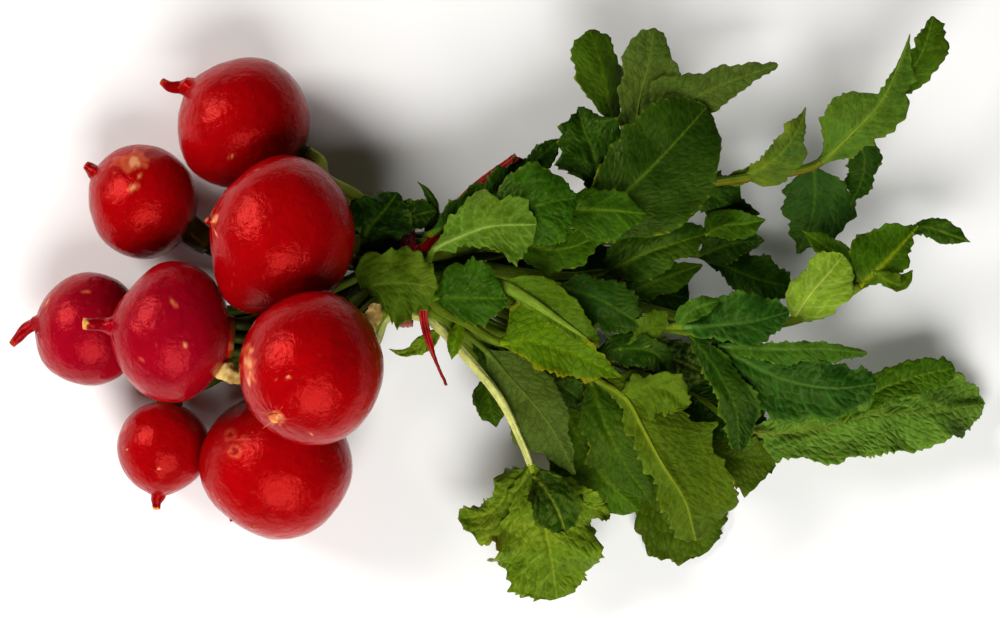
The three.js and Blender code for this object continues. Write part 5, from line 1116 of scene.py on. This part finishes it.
# the twisted ends: two strips wound round one line, 1.2 mm apart
twirl = np.linspace(0, 1, 17)
coil = np.array([-27.6, 14.6, 36.4]) + twirl[:, None] * [3.6, 3.4, 0.5]
spin = 4.4 * np.pi * twirl
offset = np.c_[-0.69 * np.cos(spin), 0.72 * np.cos(spin), np.sin(spin)] * 0.62
tie_shells = [
    film(helix, [2.9, 2.9], facing),
    film(coil + offset, [2.0, 2.2, 2.0], [[0, 0, 1], [0, 0, 1]], twist=2.2),
    film(coil - offset, [2.0, 2.2, 2.0], [[0, 0, 1], [0, 0, 1]], twist=2.2),
    film([[-25.6, 16.6, 36.4], [-22, 18.6, 34.6], [-17.5, 24, 31.2], [-10, 33.6, 30.5],
          [5.4, 45.6, 31.5]], [2.2, 2.8, 2.8, 3.0, 3.1],
         [[0, 0, 1], [-0.2, 0, 1], [-0.3, 0.2, 1], [-0.2, 0.3, 1], [-0.3, 0.6, 0.7]]),
    film([[-25.6, 16.6, 36.4], [-23, 11.5, 37.4], [-22.4, 4, 37], [-22.6, -2.6, 33.5],
          [-20.2, -12.4, 30.8], [-15.9, -23, 24]], [2.2, 2.6, 2.6, 2.4, 1.0, 0.7],
         [[0, 0, 1], [0, 0, 1], [0, 0, 1], [0, -0.4, 1], [0.8, -0.2, 0.6], [0.9, 0, 0.5]]),
]
make_piece("twist_tie_film", tie_shells, red_film(), "twist_tie", "twist_tie")


# ---------------------------------------------------------------- table, lights and camera
# A matt near-white table top under two soft boxes: one to the left, and a larger and brighter one
# towards the bottom of the view. The camera looks straight down from 1.7 m above the table, through
# a 200 mm lens.
def paper_white():
    """Matt white paper: a very faint mottle about 70 mm across, so that it isn't a flat colour."""
    material, tree, surface, place = new_material("table paper, white")
    cloud = add_node(tree, "ShaderNodeTexNoise", Vector=place, Scale=14.0, Detail=3.0)
    ramp = add_node(tree, "ShaderNodeMapRange", Value=cloud.outputs["Fac"], To_Min=0.86, To_Max=0.89)
    white = add_node(tree, "ShaderNodeCombineColor")
    for k in range(3):
        tree.links.new(ramp.outputs["Result"], white.inputs[k])
    tree.links.new(white.outputs["Color"], surface.inputs["Base Color"])
    surface.inputs["Roughness"].default_value = 0.8
    return material


floor_mesh = bpy.data.meshes.new("table_top")
floor_mesh.from_pydata([(-3, -3, 0), (3, -3, 0), (3, 3, 0), (-3, 3, 0)], [], [(0, 1, 2, 3)])
floor_mesh.materials.append(paper_white())
floor = bpy.data.objects.new("table_top", floor_mesh)
bpy.context.scene.collection.objects.link(floor)


MIDDLE = Vector((0, 0, 0.03))       # metres, the middle of the bunch, which both lamps face


def soft_box(name, direction, distance, size, watts, colour):
    """A square area light of that size in metres, at that distance along the direction from the
    bunch and facing it."""
    lamp = bpy.data.lights.new(name, "AREA")
    lamp.shape, lamp.size, lamp.energy, lamp.color = "SQUARE", size, watts, colour
    thing = bpy.data.objects.new(name, lamp)
    bpy.context.scene.collection.objects.link(thing)
    way = Vector(direction).normalized()
    thing.location = way * distance + MIDDLE
    thing.rotation_euler = way.to_track_quat("Z", "Y").to_euler()


soft_box("soft_box_left", direction=(-0.78, 0.35, 0.51), distance=0.95, size=0.48, watts=9.0,
         colour=(1.0, 0.97, 0.93))
soft_box("soft_box_front", direction=(0.06, -0.7, 0.71), distance=1.0, size=0.82, watts=15.0,
         colour=(1.0, 0.99, 0.97))
world = bpy.data.worlds.new("pale_room")
world.use_nodes = True
sky = world.node_tree.nodes["Background"]
sky.inputs["Color"].default_value = (0.94, 0.97, 1.0, 1)
sky.inputs["Strength"].default_value = 0.03
bpy.context.scene.world = world

lens = bpy.data.cameras.new("overhead")
lens.sensor_width, lens.lens, lens.clip_start = 36, 200, 0.1
camera = bpy.data.objects.new("overhead", lens)
camera.location = (0.0003, 0, 1.697)
bpy.context.scene.collection.objects.link(camera)
bpy.context.scene.camera = camera
bpy.context.scene.view_settings.view_transform = "Standard"


# ---------------------------------------------------------------- last update
bpy.context.view_layer.update()
